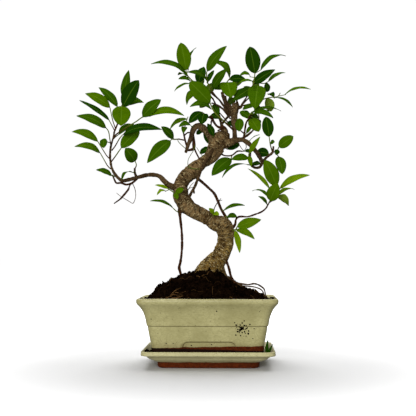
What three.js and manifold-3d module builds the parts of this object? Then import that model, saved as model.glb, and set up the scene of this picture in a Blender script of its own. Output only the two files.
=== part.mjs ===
// Bonsai tree with a bent trunk, aerial roots and loose leafy shoots, in a glazed pot on a saucer.
// Millimetres, +Z up, +X to the right and +Y away from the viewer. The origin is the middle of the
// flat underside of the saucer.
import * as THREE from "three";
import { mergeVertices } from "three/addons/utils/BufferGeometryUtils.js";
import Module from "manifold-3d";

const wasm = await Module();
wasm.setup();

// Driving dimensions: half widths along X, and how much less the half depth along Y is.
const POT_RIM_HALF_WIDTH = 80.9;
const POT_RIM_Z = 79.5;
const POT_SHIFT_X = -1;
const POT_DEPTH_LESS = 24;
const POT_CORNER = 9;
const SAUCER_HALF_WIDTH = 76.5;
const SAUCER_RIM_Z = 20.3;
const SAUCER_FLOOR_Z = 12.5;
const SAUCER_DEPTH_LESS = 20;
const SAUCER_CORNER = 9;
const CLEARANCE = 0.3;
const ROOT_CLEARANCE = 0.45;
const BLADE_THICKNESS = 0.7;
const LEAF_FOLD = 0.22;
const STALK_HALF_WIDTH = 0.6;
const STEM_SIDES = 4;
const SMALLEST_EDGE = 0.25;
const CORNER_STEPS = 3;
const RING_SIDES = 4 * (CORNER_STEPS + 2);

// The tree is described as it is seen from the front: across and up are read in the upright plane
// through the trunk, and a point nearer or farther slides along its line of sight from this eye.
const EYE = new THREE.Vector3(25, -957, 128);

// Wood: each strand is [across, up, depth, radius] from its root to its tip.
const STRANDS = {
  trunk: [
    [-9, 94, 2, 15.5], [-3, 108, 2, 14.5], [6, 119, 3, 12.4], [13, 128, 4, 10.9], [18, 138, 5, 10.2],
    [20, 148, 6, 9.8], [20, 157, 6, 10.9], [16.5, 164, 5, 11], [8.2, 167.3, 3, 9.8], [-1, 173.2, 0, 8.8],
    [-9, 177.2, -3, 8.7], [-20, 182.8, -6, 9.1], [-28.4, 190, -8, 9.5], [-33.8, 198.5, -8, 9.3],
    [-34, 208, -7, 8.3], [-33, 215, -5, 8.4], [-28, 223, -3, 8.9], [-22, 229, -1, 8.8],
    [-15, 234.5, 0, 7.6], [-7.2, 241.2, 1, 6.7], [0.6, 248.8, 2, 6.6], [5, 256.2, 3, 7.5],
    [8.4, 263.5, 3, 9.9], [13, 268.5, 3, 10.4], [17, 272.5, 3, 8.8], [19, 275, 3, 6.5],
  ],
  trunk_side: [[-8, 238, 3, 3.6], [0, 241, 3, 4.6], [7, 247, 3, 4.8], [14, 257, 3, 5]],
  trunk_knuckle: [[14, 267, 3, 7], [20, 272.5, 2, 6], [22, 277, 2, 3.6]],
  flare_left: [[0, 116, 0, 8], [-10, 109, -5, 5.4], [-22, 97, -10, 3.4]],
  flare_front: [[5, 113, -3, 8], [4, 100, -12, 5], [3, 88, -20, 3]],
  flare_right: [[11, 121, 3, 7.5], [16, 109, 4, 4.4], [22, 95, 4, 3]],
  flare_back: [[4, 118, 8, 8], [2, 106, 18, 5], [-1, 91, 27, 3]],
  basal_root: [[16, 131, 2, 4], [21, 121, -1, 2], [24, 112, -3, 1.6], [26, 104, -5, 1.6], [32, 94, -8, 1.4]],
  aerial_root_left: [
    [-32.5, 190, -8, 4.8], [-34.8, 181, -9, 2.8], [-34.8, 174, -10, 1.8], [-33, 157, -10, 1.6],
    [-32.5, 144, -10, 1.6], [-33, 132, -11, 1.5], [-34.5, 121, -11, 1.6], [-36, 114, -11, 1.9],
    [-34, 106, -12, 1.7], [-32, 91, -13, 1.4],
  ],
  strap_root: [
    [4, 256, -3, 2.2], [-3, 244, -8, 2.1], [-8, 235, -11, 2], [-11, 228, -11, 1.9],
    [-14, 220, -10, 1.8], [-17, 212, -10, 1.7], [-21, 205, -11, 1.8], [-24, 199, -11, 1.9],
    [-27, 192, -8, 2],
  ],
  strap_stub: [[-19, 210, -10, 1.3], [-18, 203, -10, 1]],
  aerial_root_right: [
    [-18, 224, 1, 2], [-10, 218, 4, 1.8], [-1, 210, 6, 1.6], [6, 203, 7, 1.7], [10, 195, 8, 1.7],
    [14, 185, 8, 1.7], [18, 178, 8, 1.8], [24, 168, 7, 1.8],
  ],
  surface_root: [
    [22, 103, 3, 2.3], [28, 98, 3, 1.9], [34, 95.5, -2, 1.5], [41, 94.5, -8, 1.2], [47, 94, -12, 1.15],
    [53, 95, -14, 1.15], [58, 94, -16, 1.1], [63, 91, -17, 1.05], [66, 87.5, -18, 1], [67.5, 79, -19, 0.95],
  ],
  surface_root_low: [
    [34, 95, -3, 1.1], [38, 92.5, -14, 0.9], [46, 92, -19, 0.8], [54, 91, -22, 0.8], [61, 88.5, -24, 0.75],
    [64.5, 84.5, -25, 0.75], [66, 78, -26, 0.75],
  ],
  branch_left: [
    [-35, 208, -7, 4.6], [-46, 212, -10, 3.9], [-54, 218, -12, 3.3], [-60, 224, -14, 2.9],
    [-68, 226, -16, 2.6], [-76, 225.5, -17, 2.5], [-86, 223, -18, 2.4], [-97, 220, -18, 2.3],
    [-105, 219, -17, 2.2], [-111, 223, -16, 2], [-116.5, 231, -15, 1.7], [-119, 239, -14, 1.6],
    [-120, 248, -13, 1.5], [-119.5, 258, -13, 1.4], [-118, 265, -13, 1.3], [-116, 272, -13, 1.2],
    [-115, 278.5, -13, 1.1],
  ],
  stub_left: [[-86.5, 222, -18, 1.6], [-89.5, 227, -19, 1.4], [-90, 234, -20, 1.2]],
  loop_left: [
    [-86, 222, -18, 1.3], [-93, 216, -14, 1.3], [-100, 214, -13, 1.3], [-106, 216, -13, 1.3],
    [-112, 216, -14, 1.2], [-114.5, 220, -15, 1.1], [-117, 226, -16, 1],
  ],
  hanging_root: [
    [-93, 216, -14, 0.9], [-96, 212.5, -13, 0.8], [-98, 207.5, -13, 1.2], [-105, 199, -14, 1.3],
    [-108, 196, -15, 1], [-115, 191, -16, 0.6],
  ],
  branch_low: [
    [25, 158, 3, 2.2], [31, 165.5, 1, 1.7], [32, 171.5, 0, 1.4], [36, 175, -1, 1.3], [46, 175, -3, 1.2],
    [54, 177.5, -4, 1.2], [63, 181, -5, 1.1], [69, 186, -6, 1.1],
  ],
  branch_right: [
    [9, 262, 3, 7], [18, 262.5, 2, 6.2], [26, 265, 1, 4.9], [33, 267.5, 0, 3.6], [40, 268, -2, 3],
    [47, 264, -4, 2.8], [53, 258, -6, 2.7], [58, 251.5, -8, 2.6], [62, 245, -9, 2.4], [64.5, 240, -9, 2.2],
  ],
  loop_right: [
    [64.5, 241, -9, 2], [61, 235, -11, 1.7], [55.5, 234, -13, 1.6], [51, 237, -15, 1.5],
    [49, 242.5, -17, 1.3], [49.5, 249.5, -18, 1.2], [50, 255, -18, 1],
  ],
  fork_right: [
    [64.5, 240, -9, 1.9], [68, 245.5, -8, 1.6], [72.5, 249, -7, 1.5], [76.5, 253, -6, 1.4],
    [77.5, 260, -6, 1.1],
  ],
  branch_up_left: [
    [9, 264, 2, 6.5], [2.5, 271, 0, 5.2], [-3.5, 278.5, -3, 4.7], [-9.5, 284, -5, 4.4],
    [-15.5, 284.5, -6, 3.9], [-19.5, 279, -7, 3.3], [-22, 270, -8, 2.8], [-25.5, 261.5, -9, 2.4],
    [-28.5, 252.5, -10, 1.5],
  ],
  knot_twig: [[-19.5, 274, -5, 1.5], [-18.5, 264, -3, 2.1], [-19.5, 257, -4, 1.8], [-29, 255, -8, 1.2]],
  tangle_twig: [[-26.5, 258.5, -9, 1.2], [-29, 267.5, -11, 1.2], [-31, 276.5, -12, 1]],
  tangle_cross: [[-30, 273.5, -12, 0.9], [-25.5, 277, -11, 0.9], [-20.5, 275.5, -8, 0.9]],
  dark_root: [[-19, 266.5, -4, 1.2], [-17, 255.5, -4, 1], [-11, 243.5, -3, 0.9]],
  upright: [
    [31, 266.5, 0, 3.6], [31, 272.5, 2, 2.9], [30.5, 281, 4, 3], [30.4, 289.2, 5, 3.9],
    [30.2, 297.6, 6, 4.6], [30.8, 304, 6, 4.7], [31.4, 309, 6, 4.6], [32, 312.5, 6, 3.2],
  ],
  knob_left: [[30, 305.5, 6, 2], [24.5, 310, 8, 1.5], [21, 315.5, 10, 1.1], [20, 321.5, 12, 0.9]],
  knob_right: [
    [31, 306, 6, 2], [38, 307, 4, 1.4], [40, 311.5, 3, 1.3], [42.5, 315.5, 3, 1.1], [46, 321, 3, 0.9],
  ],
  knob_side: [[39, 309.5, 4, 1], [47, 310, 6, 0.8]],
  knob_top: [[31, 308.5, 6, 1.6], [33.5, 314.5, 7, 1.1], [33, 321.5, 9, 0.9]],
  crown_twig: [
    [30, 288, 5, 2.8], [28, 297, 6, 2.6], [24.5, 305, 7, 2.7], [21, 311, 8, 2.8], [18, 318, 9, 2.6],
    [15, 326.5, 10, 1.5],
  ],
  crown_twig_left: [
    [27.5, 297, 5, 1.8], [22, 303, 5, 1.5], [17, 310, 5, 1.4], [12, 317, 5, 1.2], [5, 323, 4, 0.9],
  ],
  crown_twig_low: [[24, 300, 5, 1.3], [16, 306, 2, 1.2], [9, 310.5, 0, 1.1], [3, 313, -2, 0.9]],
  dead_twig: [
    [21, 277, 3, 3], [18, 283, 1, 2.1], [12.5, 283, -1, 1.8], [8.5, 285.5, -2, 1.5], [5, 291, -3, 1.5],
    [3, 294.5, -4, 1.9], [-1.5, 295.5, -4, 1.1],
  ],
  dead_prong: [[16, 281.5, 1, 1.2], [10, 279, 1, 0.8]],
  dead_spur: [[3, 292, -3, 1], [2, 284.5, -3, 0.7]],
  twig_right: [
    [41, 266.5, -2, 1.6], [42.5, 275, -2, 1.2], [43.5, 282, -2, 1.2], [45, 289, -2, 1.1],
    [48.5, 294.5, -3, 1], [52, 299.5, -4, 0.8],
  ],
  twig_fork: [[42.8, 275, -2, 0.9], [38, 279, 1, 0.7]],
  under_twig: [
    [10, 257, 6, 1.8], [16, 250, 9, 1], [22, 248.5, 9, 0.9], [28, 249.5, 8, 0.9], [34, 254, 6, 1],
    [39.5, 254, 5, 0.8],
  ],
  back_branch: [
    [16, 267.5, 8, 4], [16, 282, 20, 2.4], [12.5, 295, 30, 1.8], [9, 308.5, 36, 1.3], [4, 319, 40, 1],
  ],
  back_twig: [[15, 287, 25, 1.6], [25.5, 299, 34, 1.4], [37.5, 308.5, 40, 1.1], [46, 317, 43, 0.9]],
  back_limb: [[12, 264, 4, 3.4], [35, 267.5, 24, 2], [49.5, 276, 34, 1.4], [59, 287, 38, 1.1]],
};

// Leafy shoots. A stem is [across, up, depth, radius] and starts inside the wood that carries it.
// A leaf is [across, up] of the place where it leaves the stem, [across, up, depth] of its tip, width,
// turn in degrees from facing the viewer towards facing the sky, leaf stalk length, and arch.
const SHOOTS = {
  left_top: {
    tone: "mid",
    stems: [
      [
        [-115, 278.5, -13, 1.1], [-112.5, 284.5, -13, 1], [-110, 291.5, -13, 0.95],
        [-107.5, 302.5, -12, 0.9], [-106, 310.5, -11, 0.8], [-102.5, 316.5, -9, 0.65],
      ],
      [[-113.5, 282, -13, 0.7], [-117, 292, -15, 0.6], [-119.5, 303, -17, 0.6], [-120.5, 308, -18, 0.55]],
      [[-114.5, 279.5, -13, 0.7], [-118, 286, -13, 0.6], [-121.5, 292.5, -12, 0.55]],
    ],
    leaves: [
      [[-102.5, 316.5], [-98, 354, -3], 12.5, 20, 0, 0.06],
      [[-106.5, 305], [-85.5, 341.5, -28], 19.5, 12, 5, 0.05],
      [[-106.5, 309.5], [-79.5, 313.5, 12], 14, 35, 5, 0.2],
      [[-107.5, 304], [-134.5, 333, -2], 12, 34, 7, 0.1],
      [[-120.5, 308], [-151, 325.5, -22], 13, 24, 0, 0.16],
      [[-121.5, 292.5], [-158, 317, -6], 11, 56, 0, 0.05],
      [[-106.5, 309.5], [-107, 285.5, -24], 22, 8, 0, 0.1],
    ],
  },
  left_leaf_upper: {
    tone: "mid",
    stems: [[
      [-119, 260.5, -13, 0.75], [-120.5, 270, -11, 0.65], [-122, 278.5, -14, 0.65], [-125, 283, -17, 0.6],
    ]],
    leaves: [[[-125, 283], [-161.5, 298, -26], 13, 32, 0, 0.16]],
  },
  left_leaf_middle: {
    tone: "mid",
    stems: [[
      [-120.5, 245.5, -13, 0.75], [-124, 249, -13, 0.65], [-129.5, 257.5, -14, 0.6], [-135, 266.5, -15, 0.6],
    ]],
    leaves: [[[-135, 266.5], [-167, 278.5, -10], 12, 36, 0, 0.18]],
  },
  left_leaf_lower: {
    tone: "mid",
    stems: [[
      [-119, 233, -14, 0.75], [-123, 237, -16, 0.65], [-128, 245.5, -19, 0.6], [-132, 252.5, -21, 0.6],
    ]],
    leaves: [[[-132, 252.5], [-163.5, 260.5, -34], 12, 43, 0, 0.19]],
  },
  left_leaf_small: {
    tone: "mid",
    stems: [[[-118, 264.5, -13, 0.7], [-124.5, 266.5, -19, 0.55], [-127.5, 270, -21, 0.5]]],
    leaves: [[[-127.5, 270], [-128, 258.5, -29], 9, 0, 0, 0.1]],
  },
  left_leaf_low: {
    tone: "mid",
    stems: [[[-112.5, 224.5, -16, 0.8], [-116, 224, -22, 0.65], [-117.5, 225, -25, 0.6]]],
    leaves: [[[-117.5, 225], [-137, 232, -36], 9, 45, 0, 0.12]],
  },
  left_side_shoot: {
    tone: "mid",
    stems: [[
      [-116, 272, -13, 1], [-111, 276.5, -16, 0.9], [-98, 285, -21, 0.8], [-89, 290.5, -24, 0.75],
      [-82, 295.5, -26, 0.7], [-77.5, 297, -27, 0.6],
    ]],
    leaves: [
      [[-82, 296], [-58.5, 317.5, -38], 15, 12, 2, 0.1],
      [[-77.5, 297], [-30, 297.5, -36], 13, 40, 5, 0.2],
    ],
  },
  left_side_leaf: {
    tone: "dark",
    stems: [[
      [-118, 255.5, -13, 0.85], [-113.5, 261.5, -16, 0.75], [-109, 269.5, -21, 0.7], [-105, 274.5, -24, 0.65],
    ]],
    leaves: [[[-105, 274.5], [-57, 280.5, -36], 16, 45, 0, 0.14]],
  },
  left_side_back_leaf: {
    tone: "mid",
    stems: [[[-116, 270, -13, 0.8], [-112.5, 273, -9, 0.65], [-109.5, 275, -6, 0.6]]],
    leaves: [[[-109.5, 275], [-91, 287.5, 4], 11, 38, 0, 0.14]],
  },
  left_side_low_leaf: {
    tone: "mid",
    stems: [[
      [-119, 241, -14, 0.85], [-113.5, 248.5, -18, 0.75], [-109, 255, -21, 0.7], [-106.5, 258.5, -22, 0.6],
    ]],
    leaves: [[[-106.5, 258.5], [-84.5, 279.5, -16], 16, 15, 0, 0.1]],
  },
  left_stub_leaf: {
    tone: "mid",
    stems: [[[-90, 233, -20, 0.9], [-88, 237.5, -21, 0.65], [-89.5, 242.5, -22, 0.6]]],
    leaves: [[[-89.5, 242.5], [-101.5, 258.5, -40], 15, 8, 0, 0.1]],
  },
  left_drooping_leaf: {
    tone: "mid",
    stems: [[[-90, 228, -19, 0.8], [-91, 229, -24, 0.65], [-92, 228.5, -27, 0.6]]],
    leaves: [[[-92, 228.5], [-105.5, 219.5, -36], 9, 66, 0, 0.28]],
  },
  crown_left: {
    tone: "bright",
    stems: [[
      [6, 322, 4, 0.95], [-3, 329.5, 4, 0.9], [-13.5, 335.5, 2, 0.85], [-21, 341, 0, 0.8],
      [-26, 346.5, -2, 0.75], [-28, 352, -3, 0.7],
    ]],
    leaves: [
      [[-28, 352], [-34.5, 387.5, -8], 17.5, 10, 1, 0.05],
      [[-27, 349], [-15.5, 381, 16], 13, 58, 6, 0.14],
      [[-24.5, 344.5], [-71, 361.5, -18], 13, 50, 1, 0.2],
      [[-13.5, 335.5], [-6.5, 357.5, 24], 13, 15, 3, 0.06],
      [[-26, 346.5], [-38, 347.5, 24], 8, 72, 5, 0.1],
      [[-20, 340], [-37.5, 342.5, -14], 8, 40, 4, 0.16],
      [[-15, 336.5], [-42.5, 327.5, -10], 9, 62, 3, 0.15],
      [[-8, 332], [-27, 310.5, 18], 12, 40, 5, 0.25],
    ],
  },
  crown_middle: {
    tone: "bright",
    stems: [[
      [30.5, 279, 3, 1.3], [18.5, 290, -8, 1.1], [8, 300, -15, 1], [3.5, 307.5, -18, 0.9],
      [1, 313.5, -19, 0.7],
    ]],
    leaves: [
      [[1, 313.5], [-24, 339, -28], 20, 6, 0, 0.06],
      [[4, 305], [-23.5, 308.5, -24], 12, 44, 2, 0.26],
      [[12, 297], [4.5, 310.5, 10], 9, 20, 4, 0.1],
      [[15, 293], [0.5, 297, 14], 12, 26, 6, 0.1],
      [[21, 287.5], [29.5, 285.5, 14], 9, 20, 3, 0.1],
    ],
  },
  crown_middle_low: {
    tone: "dark",
    stems: [[[-0.5, 295.3, -4, 1], [-4, 298.5, -10, 0.75], [-9, 302, -14, 0.65]]],
    leaves: [
      [[-9, 302], [-24.5, 288.5, -20], 11, 15, 0, 0.12],
      [[-6, 300], [-9, 287, -26], 13, 6, 0, 0.12],
    ],
  },
  crown_inner_leaf: {
    tone: "dark",
    stems: [[[3, 269.5, -1, 0.9], [5.5, 273, -8, 0.65]]],
    leaves: [[[5.5, 273], [-2, 288, -11], 8, 15, 0, 0.08]],
  },
  crown_inner_leaf_back: {
    tone: "dark",
    stems: [[[-4.5, 279, -3, 0.8], [-6, 279.5, 5, 0.65]]],
    leaves: [
      [[-6, 279.5], [-15.5, 276, 15], 8, 20, 0, 0.1],
      [[-6, 279.5], [-1.5, 263.5, 14], 7, 15, 0, 0.1],
    ],
  },
  trunk_top_leaf_left: {
    tone: "dark",
    stems: [[[5, 260.5, 4, 0.8], [2, 257.5, 14, 0.65]]],
    leaves: [[[2, 257.5], [-11.5, 251.5, 20], 9, 30, 0, 0.12]],
  },
  trunk_top_leaf_right: {
    tone: "dark",
    stems: [[[15, 260.5, 5, 0.8], [22, 256.5, 15, 0.65]]],
    leaves: [[[22, 256.5], [36.5, 263.5, 20], 11, 20, 0, 0.1]],
  },
  tangle_leaves: {
    tone: "mid",
    stems: [[
      [-31, 275.5, -12, 0.8], [-29, 285.5, -13, 0.65], [-27, 292.5, -14, 0.6], [-25.5, 296.5, -15, 0.5],
    ]],
    leaves: [
      [[-27, 293.5], [-47.5, 280.5, -8], 9, 48, 0, 0.18],
      [[-29.5, 284.5], [-31.5, 276, -30], 7, 0, 2, 0.12],
    ],
  },
  tangle_leaf_side: {
    tone: "mid",
    stems: [[[-17.5, 284, -6, 0.8], [-21.5, 284.5, -15, 0.65]]],
    leaves: [[[-21.5, 284.5], [-37, 284, -26], 9, 42, 0, 0.26]],
  },
  middle_left: {
    tone: "mid",
    stems: [[[-29, 267.5, -11, 0.9], [-37, 269, -13, 0.8], [-44, 269, -16, 0.75], [-51, 273, -18, 0.6]]],
    leaves: [
      [[-42, 269.5], [-58, 284.5, -26], 10, 18, 2, 0.1],
      [[-45, 269.5], [-75, 240, -28], 16, 10, 3, 0.14],
    ],
  },
  crown_top: {
    tone: "bright",
    stems: [[
      [10.5, 318, 5, 1], [3.5, 327.5, 8, 0.9], [-1.5, 337, 8, 0.85], [-3, 344, 7, 0.75], [-3, 351, 6, 0.65],
    ]],
    leaves: [
      [[-3, 351], [21.5, 383, -6], 14, 20, 1, 0.12],
      [[-1.5, 338], [6, 353, 22], 7, 28, 2, 0.08],
      [[2.5, 330], [22.5, 355.5, -24], 12, 16, 4, 0.06],
      [[-1.5, 337], [-27, 351, -18], 11, 42, 1, 0.2],
    ],
  },
  crown_centre: {
    tone: "bright",
    stems: [[[15.5, 324.5, 10, 1], [18, 331, 11, 0.9], [21.5, 338, 10, 0.8], [25.5, 343.5, 8, 0.65]]],
    leaves: [
      [[25.5, 343.5], [5.5, 364, 0], 13, 45, 1, 0.26],
      [[24, 341], [44.5, 341.5, 22], 13, 30, 1, 0.08],
      [[21.5, 338.5], [26, 319, -16], 21, 5, 1, 0.12],
      [[17, 330], [3.5, 333.5, 22], 10, 20, 2, 0.1],
    ],
  },
  crown_right: {
    tone: "bright",
    stems: [
      [[46, 321, 3, 0.95], [50, 328, 3, 0.9], [53.5, 336, 2, 0.8], [55, 344, 1, 0.7], [55.5, 349, 0, 0.65]],
      [[53.5, 336, 2, 0.7], [60.5, 337, 5, 0.6], [66.5, 336.5, 8, 0.6], [71, 338.5, 10, 0.55]],
    ],
    leaves: [
      [[55.5, 348], [49.5, 382, -10], 18.5, 8, 1, 0.05],
      [[55.5, 349], [93, 370, 16], 10, 50, 9, 0.2],
      [[54.5, 337], [80, 353.5, -16], 12, 12, 1, 0.06],
      [[54, 339], [34, 334.5, 1], 8, 58, 1, 0.18],
      [[55, 344], [37, 346.5, -6], 8, 48, 5, 0.3],
      [[51.5, 331.5], [28.5, 315, -12], 13, 18, 1, 0.06],
      [[60, 337], [55, 305, -24], 21.5, 4, 5, 0.14],
      [[71, 338.5], [92.5, 349.5, 22], 8, 50, 1, 0.12],
      [[69, 338], [70.5, 326, 16], 8, 10, 0, 0.1],
    ],
  },
  crown_low_leaf: {
    tone: "mid",
    stems: [[[46, 310, 6, 0.8], [54.5, 310, 6, 0.6]]],
    leaves: [[[54.5, 310], [40.5, 304.5, -2], 8, 35, 1, 0.1]],
  },
  crown_far_right: {
    tone: "mid",
    stems: [[
      [42, 309.8, 4.5, 0.9], [57, 313.5, 12, 0.8], [66.5, 317.5, 12, 0.7], [75, 319.5, 11, 0.65],
      [83, 320.5, 10, 0.6], [86, 325, 10, 0.5],
    ]],
    leaves: [
      [[69, 318.5], [75.5, 302.5, 6], 13, 150, 0, 0.08],
      [[79.5, 320], [72, 322.5, 26], 8, 30, 2, 0.2],
      [[83.5, 321], [123, 329, 0], 9, 61, 8, 0.15],
      [[76.5, 320], [101, 307, 0], 9, 60, 2, 0.14],
    ],
  },
  right_twig_leaves: {
    tone: "mid",
    stems: [[[47.5, 293, -3, 0.8], [48.5, 298, -8, 0.65], [52.5, 302.5, -9, 0.6]]],
    leaves: [
      [[50, 300.5], [87, 302.5, 6], 9, 60, 1, 0.15],
      [[50, 299.5], [77.5, 294, -18], 12, 48, 3, 0.2],
    ],
  },
  right_twig_back_leaf: {
    tone: "mid",
    stems: [[[47, 292.5, -3, 0.8], [49, 294, 3, 0.65]]],
    leaves: [[[49, 294], [37.5, 302.5, 9], 11, 25, 0, 0.1]],
  },
  right_twig_front_leaf: {
    tone: "bright",
    stems: [[[45.5, 290, -3, 0.8], [50.5, 293, -11, 0.65]]],
    leaves: [[[50.5, 293], [60, 277.5, -22], 14.5, 8, 0, 0.12]],
  },
  upright_leaf: {
    tone: "mid",
    stems: [[[30, 292, 4, 0.9], [37.5, 293.5, -4, 0.65]]],
    leaves: [[[37.5, 293.5], [36, 278, -10], 10.5, 8, 0, 0.08]],
  },
  right_twig_low_leaf: {
    tone: "mid",
    stems: [[[42.5, 273.5, -2, 0.8], [45, 276, -8, 0.55]]],
    leaves: [[[45, 276], [54, 286.5, -15], 5, 25, 0, 0.1]],
  },
  fork_shoot: {
    tone: "mid",
    stems: [[[76.5, 252.5, -6, 0.9], [74, 260.5, -9, 0.7], [73, 266.5, -10, 0.6], [72.5, 270.5, -10, 0.55]]],
    leaves: [
      [[72.5, 270.5], [68.5, 296, -16], 14, 8, 1, 0.04],
      [[73, 264], [79, 265, -17], 6, 15, 1, 0.1],
    ],
  },
  fork_leaves: {
    tone: "mid",
    stems: [
      [[76, 252.5, -6, 0.9], [81.5, 254.5, -10, 0.7], [84, 259, -12, 0.6]],
      [[79, 253.5, -8, 0.7], [83.5, 247.5, -10, 0.6]],
    ],
    leaves: [
      [[84, 259], [101.5, 272, -22], 13, 8, 0, 0.08],
      [[82.3, 255.8], [80.5, 249.5, -19], 6.5, 0, 0, 0.05],
      [[83.5, 247.5], [88, 226, -20], 13, 10, 0, 0.1],
    ],
  },
  fork_back_leaf: {
    tone: "dark",
    stems: [[[70.5, 248, -7, 0.8], [72, 250.5, 2, 0.65]]],
    leaves: [[[72, 250.5], [56.5, 252.5, 12], 13, 16, 0, 0.1]],
  },
  loop_shoot: {
    tone: "young",
    stems: [[[49.8, 252.5, -18, 0.9], [48, 251, -24, 0.75], [47.5, 246, -26, 0.6]]],
    leaves: [
      [[48, 251], [61.5, 271.5, -34], 7, 22, 1, 0.06],
      [[47.5, 246], [26.5, 244, -32], 10, 28, 0, 0.12],
      [[47.8, 249], [50.5, 235, -34], 6, 15, 1, 0.1],
    ],
  },
  loop_long_leaf: {
    tone: "mid",
    stems: [[[51, 237, -15, 0.8], [45.5, 238, -21, 0.6]]],
    leaves: [[[45.5, 238], [15.5, 222, -34], 9, 62, 0, 0.18]],
  },
  loop_back_leaf: {
    tone: "dark",
    stems: [[[62.5, 238, -10, 0.8], [62, 238.5, -1, 0.65]]],
    leaves: [[[62, 238.5], [50.5, 237.5, 8], 8, 40, 0, 0.1]],
  },
  branch_thin_leaf: {
    tone: "mid",
    stems: [[[46.5, 264.5, -4, 0.8], [49.5, 267.5, -10, 0.55]]],
    leaves: [[[49.5, 267.5], [61, 274, -13], 6, 78, 0, 0.08]],
  },
  under_leaf: {
    tone: "mid",
    stems: [[[27.5, 249.5, 8, 0.8], [26.5, 245, 5, 0.65]]],
    leaves: [[[26.5, 245], [3, 224.5, -6], 16, 16, 0, 0.14]],
  },
  under_leaf_end: {
    tone: "dark",
    stems: [[[38.5, 254, 5, 0.7], [43, 254, 5, 0.55]]],
    leaves: [[[43, 254], [51, 252.5, 8], 7, 45, 0, 0.15]],
  },
  low_right: {
    tone: "bright",
    stems: [
      [
        [68.5, 185.5, -6, 1.05], [71, 190, -7, 0.9], [74, 195.5, -8, 0.8], [78.5, 200, -9, 0.7],
        [82, 206.5, -9, 0.65], [81.5, 210.5, -9, 0.6],
      ],
      [[72.5, 192, -7, 0.7], [77, 195, -3, 0.65], [82, 200.5, -1, 0.6]],
    ],
    leaves: [
      [[81.5, 210.5], [67, 243.5, -20], 17.5, 8, 2, 0.06],
      [[82, 207.5], [121, 225, -18], 11, 42, 3, 0.14],
      [[79.5, 202.5], [46.5, 233, 10], 9, 54, 11, 0.07],
      [[71.5, 191.5], [82.5, 215, -26], 15.5, 8, 3.5, 0.08],
      [[74, 196], [51.5, 206, 6], 7, 62, 3, 0.2],
      [[70.5, 189], [59, 199.5, -20], 7, 50, 1, 0.1],
      [[82, 200.5], [102.5, 207.5, 14], 9, 64, 1, 0.16],
      [[81, 199.5], [95.5, 188.5, -12], 14, 120, 1, 0.2],
    ],
  },
  trunk_shoot_right: {
    tone: "bright",
    stems: [[[24.5, 158, 0, 1.1], [31.5, 159.5, -8, 0.9], [33.5, 163, -10, 0.7]]],
    leaves: [
      [[33.5, 163], [62.5, 171.5, -18], 12.5, 14, 0, 0.06],
      [[32, 160], [54.5, 148, -24], 10, 35, 1, 0.14],
      [[31, 159.3], [36.5, 131.5, -16], 8, 26, 1, 0.06],
    ],
  },
  aerial_root_leaf: {
    tone: "mid",
    stems: [[[15, 183.5, 8, 0.8], [17.5, 182.5, 4, 0.65]]],
    leaves: [[[17.5, 182.5], [43, 188.5, -2], 9, 60, 0, 0.13]],
  },
  bend_leaf: {
    tone: "mid",
    stems: [[[19, 176, 8, 0.8], [21, 174.5, 1, 0.65]]],
    leaves: [[[21, 174.5], [33.5, 174.5, -5], 9, 46, 0, 0.18]],
  },
  bend_shoot: {
    tone: "young",
    stems: [[[4, 171, -2, 0.9], [5.5, 179, -9, 0.65]]],
    leaves: [
      [[5.5, 179], [-0.5, 185, -14], 5.5, 25, 0, 0.15],
      [[5.5, 179], [12, 177, -18], 6, 25, 0, 0.15],
    ],
  },
  trunk_shoot_left: {
    tone: "young",
    stems: [[[-37, 203, -10, 1], [-41.5, 204, -19, 0.85], [-45, 206, -21, 0.75], [-49.5, 209, -22, 0.6]]],
    leaves: [
      [[-49.5, 209], [-65.5, 213.5, -26], 4.5, 38, 0, 0.08],
      [[-48, 208], [-63, 201, -30], 5.5, 48, 5, 0.3],
      [[-41, 204], [-30.5, 208.5, -25], 7, 14, 1, 0.1],
      [[-41.5, 204], [-38, 196, -27], 6, 10, 1, 0.1],
    ],
  },
  trunk_low_leaf: {
    tone: "mid",
    stems: [[[-33.5, 182.5, -9, 0.9], [-38, 181, -13, 0.65], [-43.5, 185.5, -14, 0.6]]],
    leaves: [[[-43.5, 185.5], [-71.5, 194, -22], 8, 63, 0, 0.14]],
  },
  back_left: {
    tone: "mid",
    stems: [[[4.5, 318, 40, 1], [-2, 326.5, 43, 0.9], [-7, 333.5, 45, 0.75]]],
    leaves: [
      [[-7, 333.5], [-16, 349.5, 50], 11, 150, 2, 0.1],
      [[-5, 330.5], [-22.5, 325, 60], 13, 160, 3, 0.18],
      [[-2, 326.5], [6.5, 338, 62], 11, 165, 4, 0.12],
      [[0.5, 323], [-11.5, 307, 62], 13, 170, 4, 0.18],
    ],
  },
  back_middle: {
    tone: "mid",
    stems: [[[36.5, 307.5, 40, 1], [33, 317, 46, 0.9], [28, 326.5, 49, 0.8], [27, 335, 50, 0.7]]],
    leaves: [
      [[27, 335], [41, 341.5, 58], 10, 160, 2, 0.1],
      [[28, 327.5], [12.5, 337, 64], 13, 165, 3, 0.15],
      [[31.5, 319], [41, 331, 68], 11, 160, 4, 0.18],
      [[31, 320.5], [22, 310, 66], 10, 170, 4, 0.18],
    ],
  },
  back_right: {
    tone: "mid",
    stems: [[[45.5, 316.5, 43, 0.9], [52, 323, 46, 0.8], [57, 329, 47, 0.7]]],
    leaves: [
      [[57, 329], [58.5, 346, 56], 10, 155, 2, 0.1],
      [[55.5, 326.5], [59, 312, 66], 13, 170, 3, 0.18],
      [[51.5, 322], [42, 333, 60], 12, 160, 4, 0.15],
    ],
  },
  back_low: {
    tone: "dark",
    stems: [[[58.5, 286, 38, 1], [60, 293, 42, 0.8], [60, 298, 44, 0.65]]],
    leaves: [
      [[60, 298], [56, 311, 46], 10, 150, 2, 0.1],
      [[60.3, 294], [55.5, 281, 58], 10, 170, 2, 0.18],
      [[59.5, 290.5], [46, 299, 58], 12, 165, 3, 0.15],
    ],
  },
};

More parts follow.
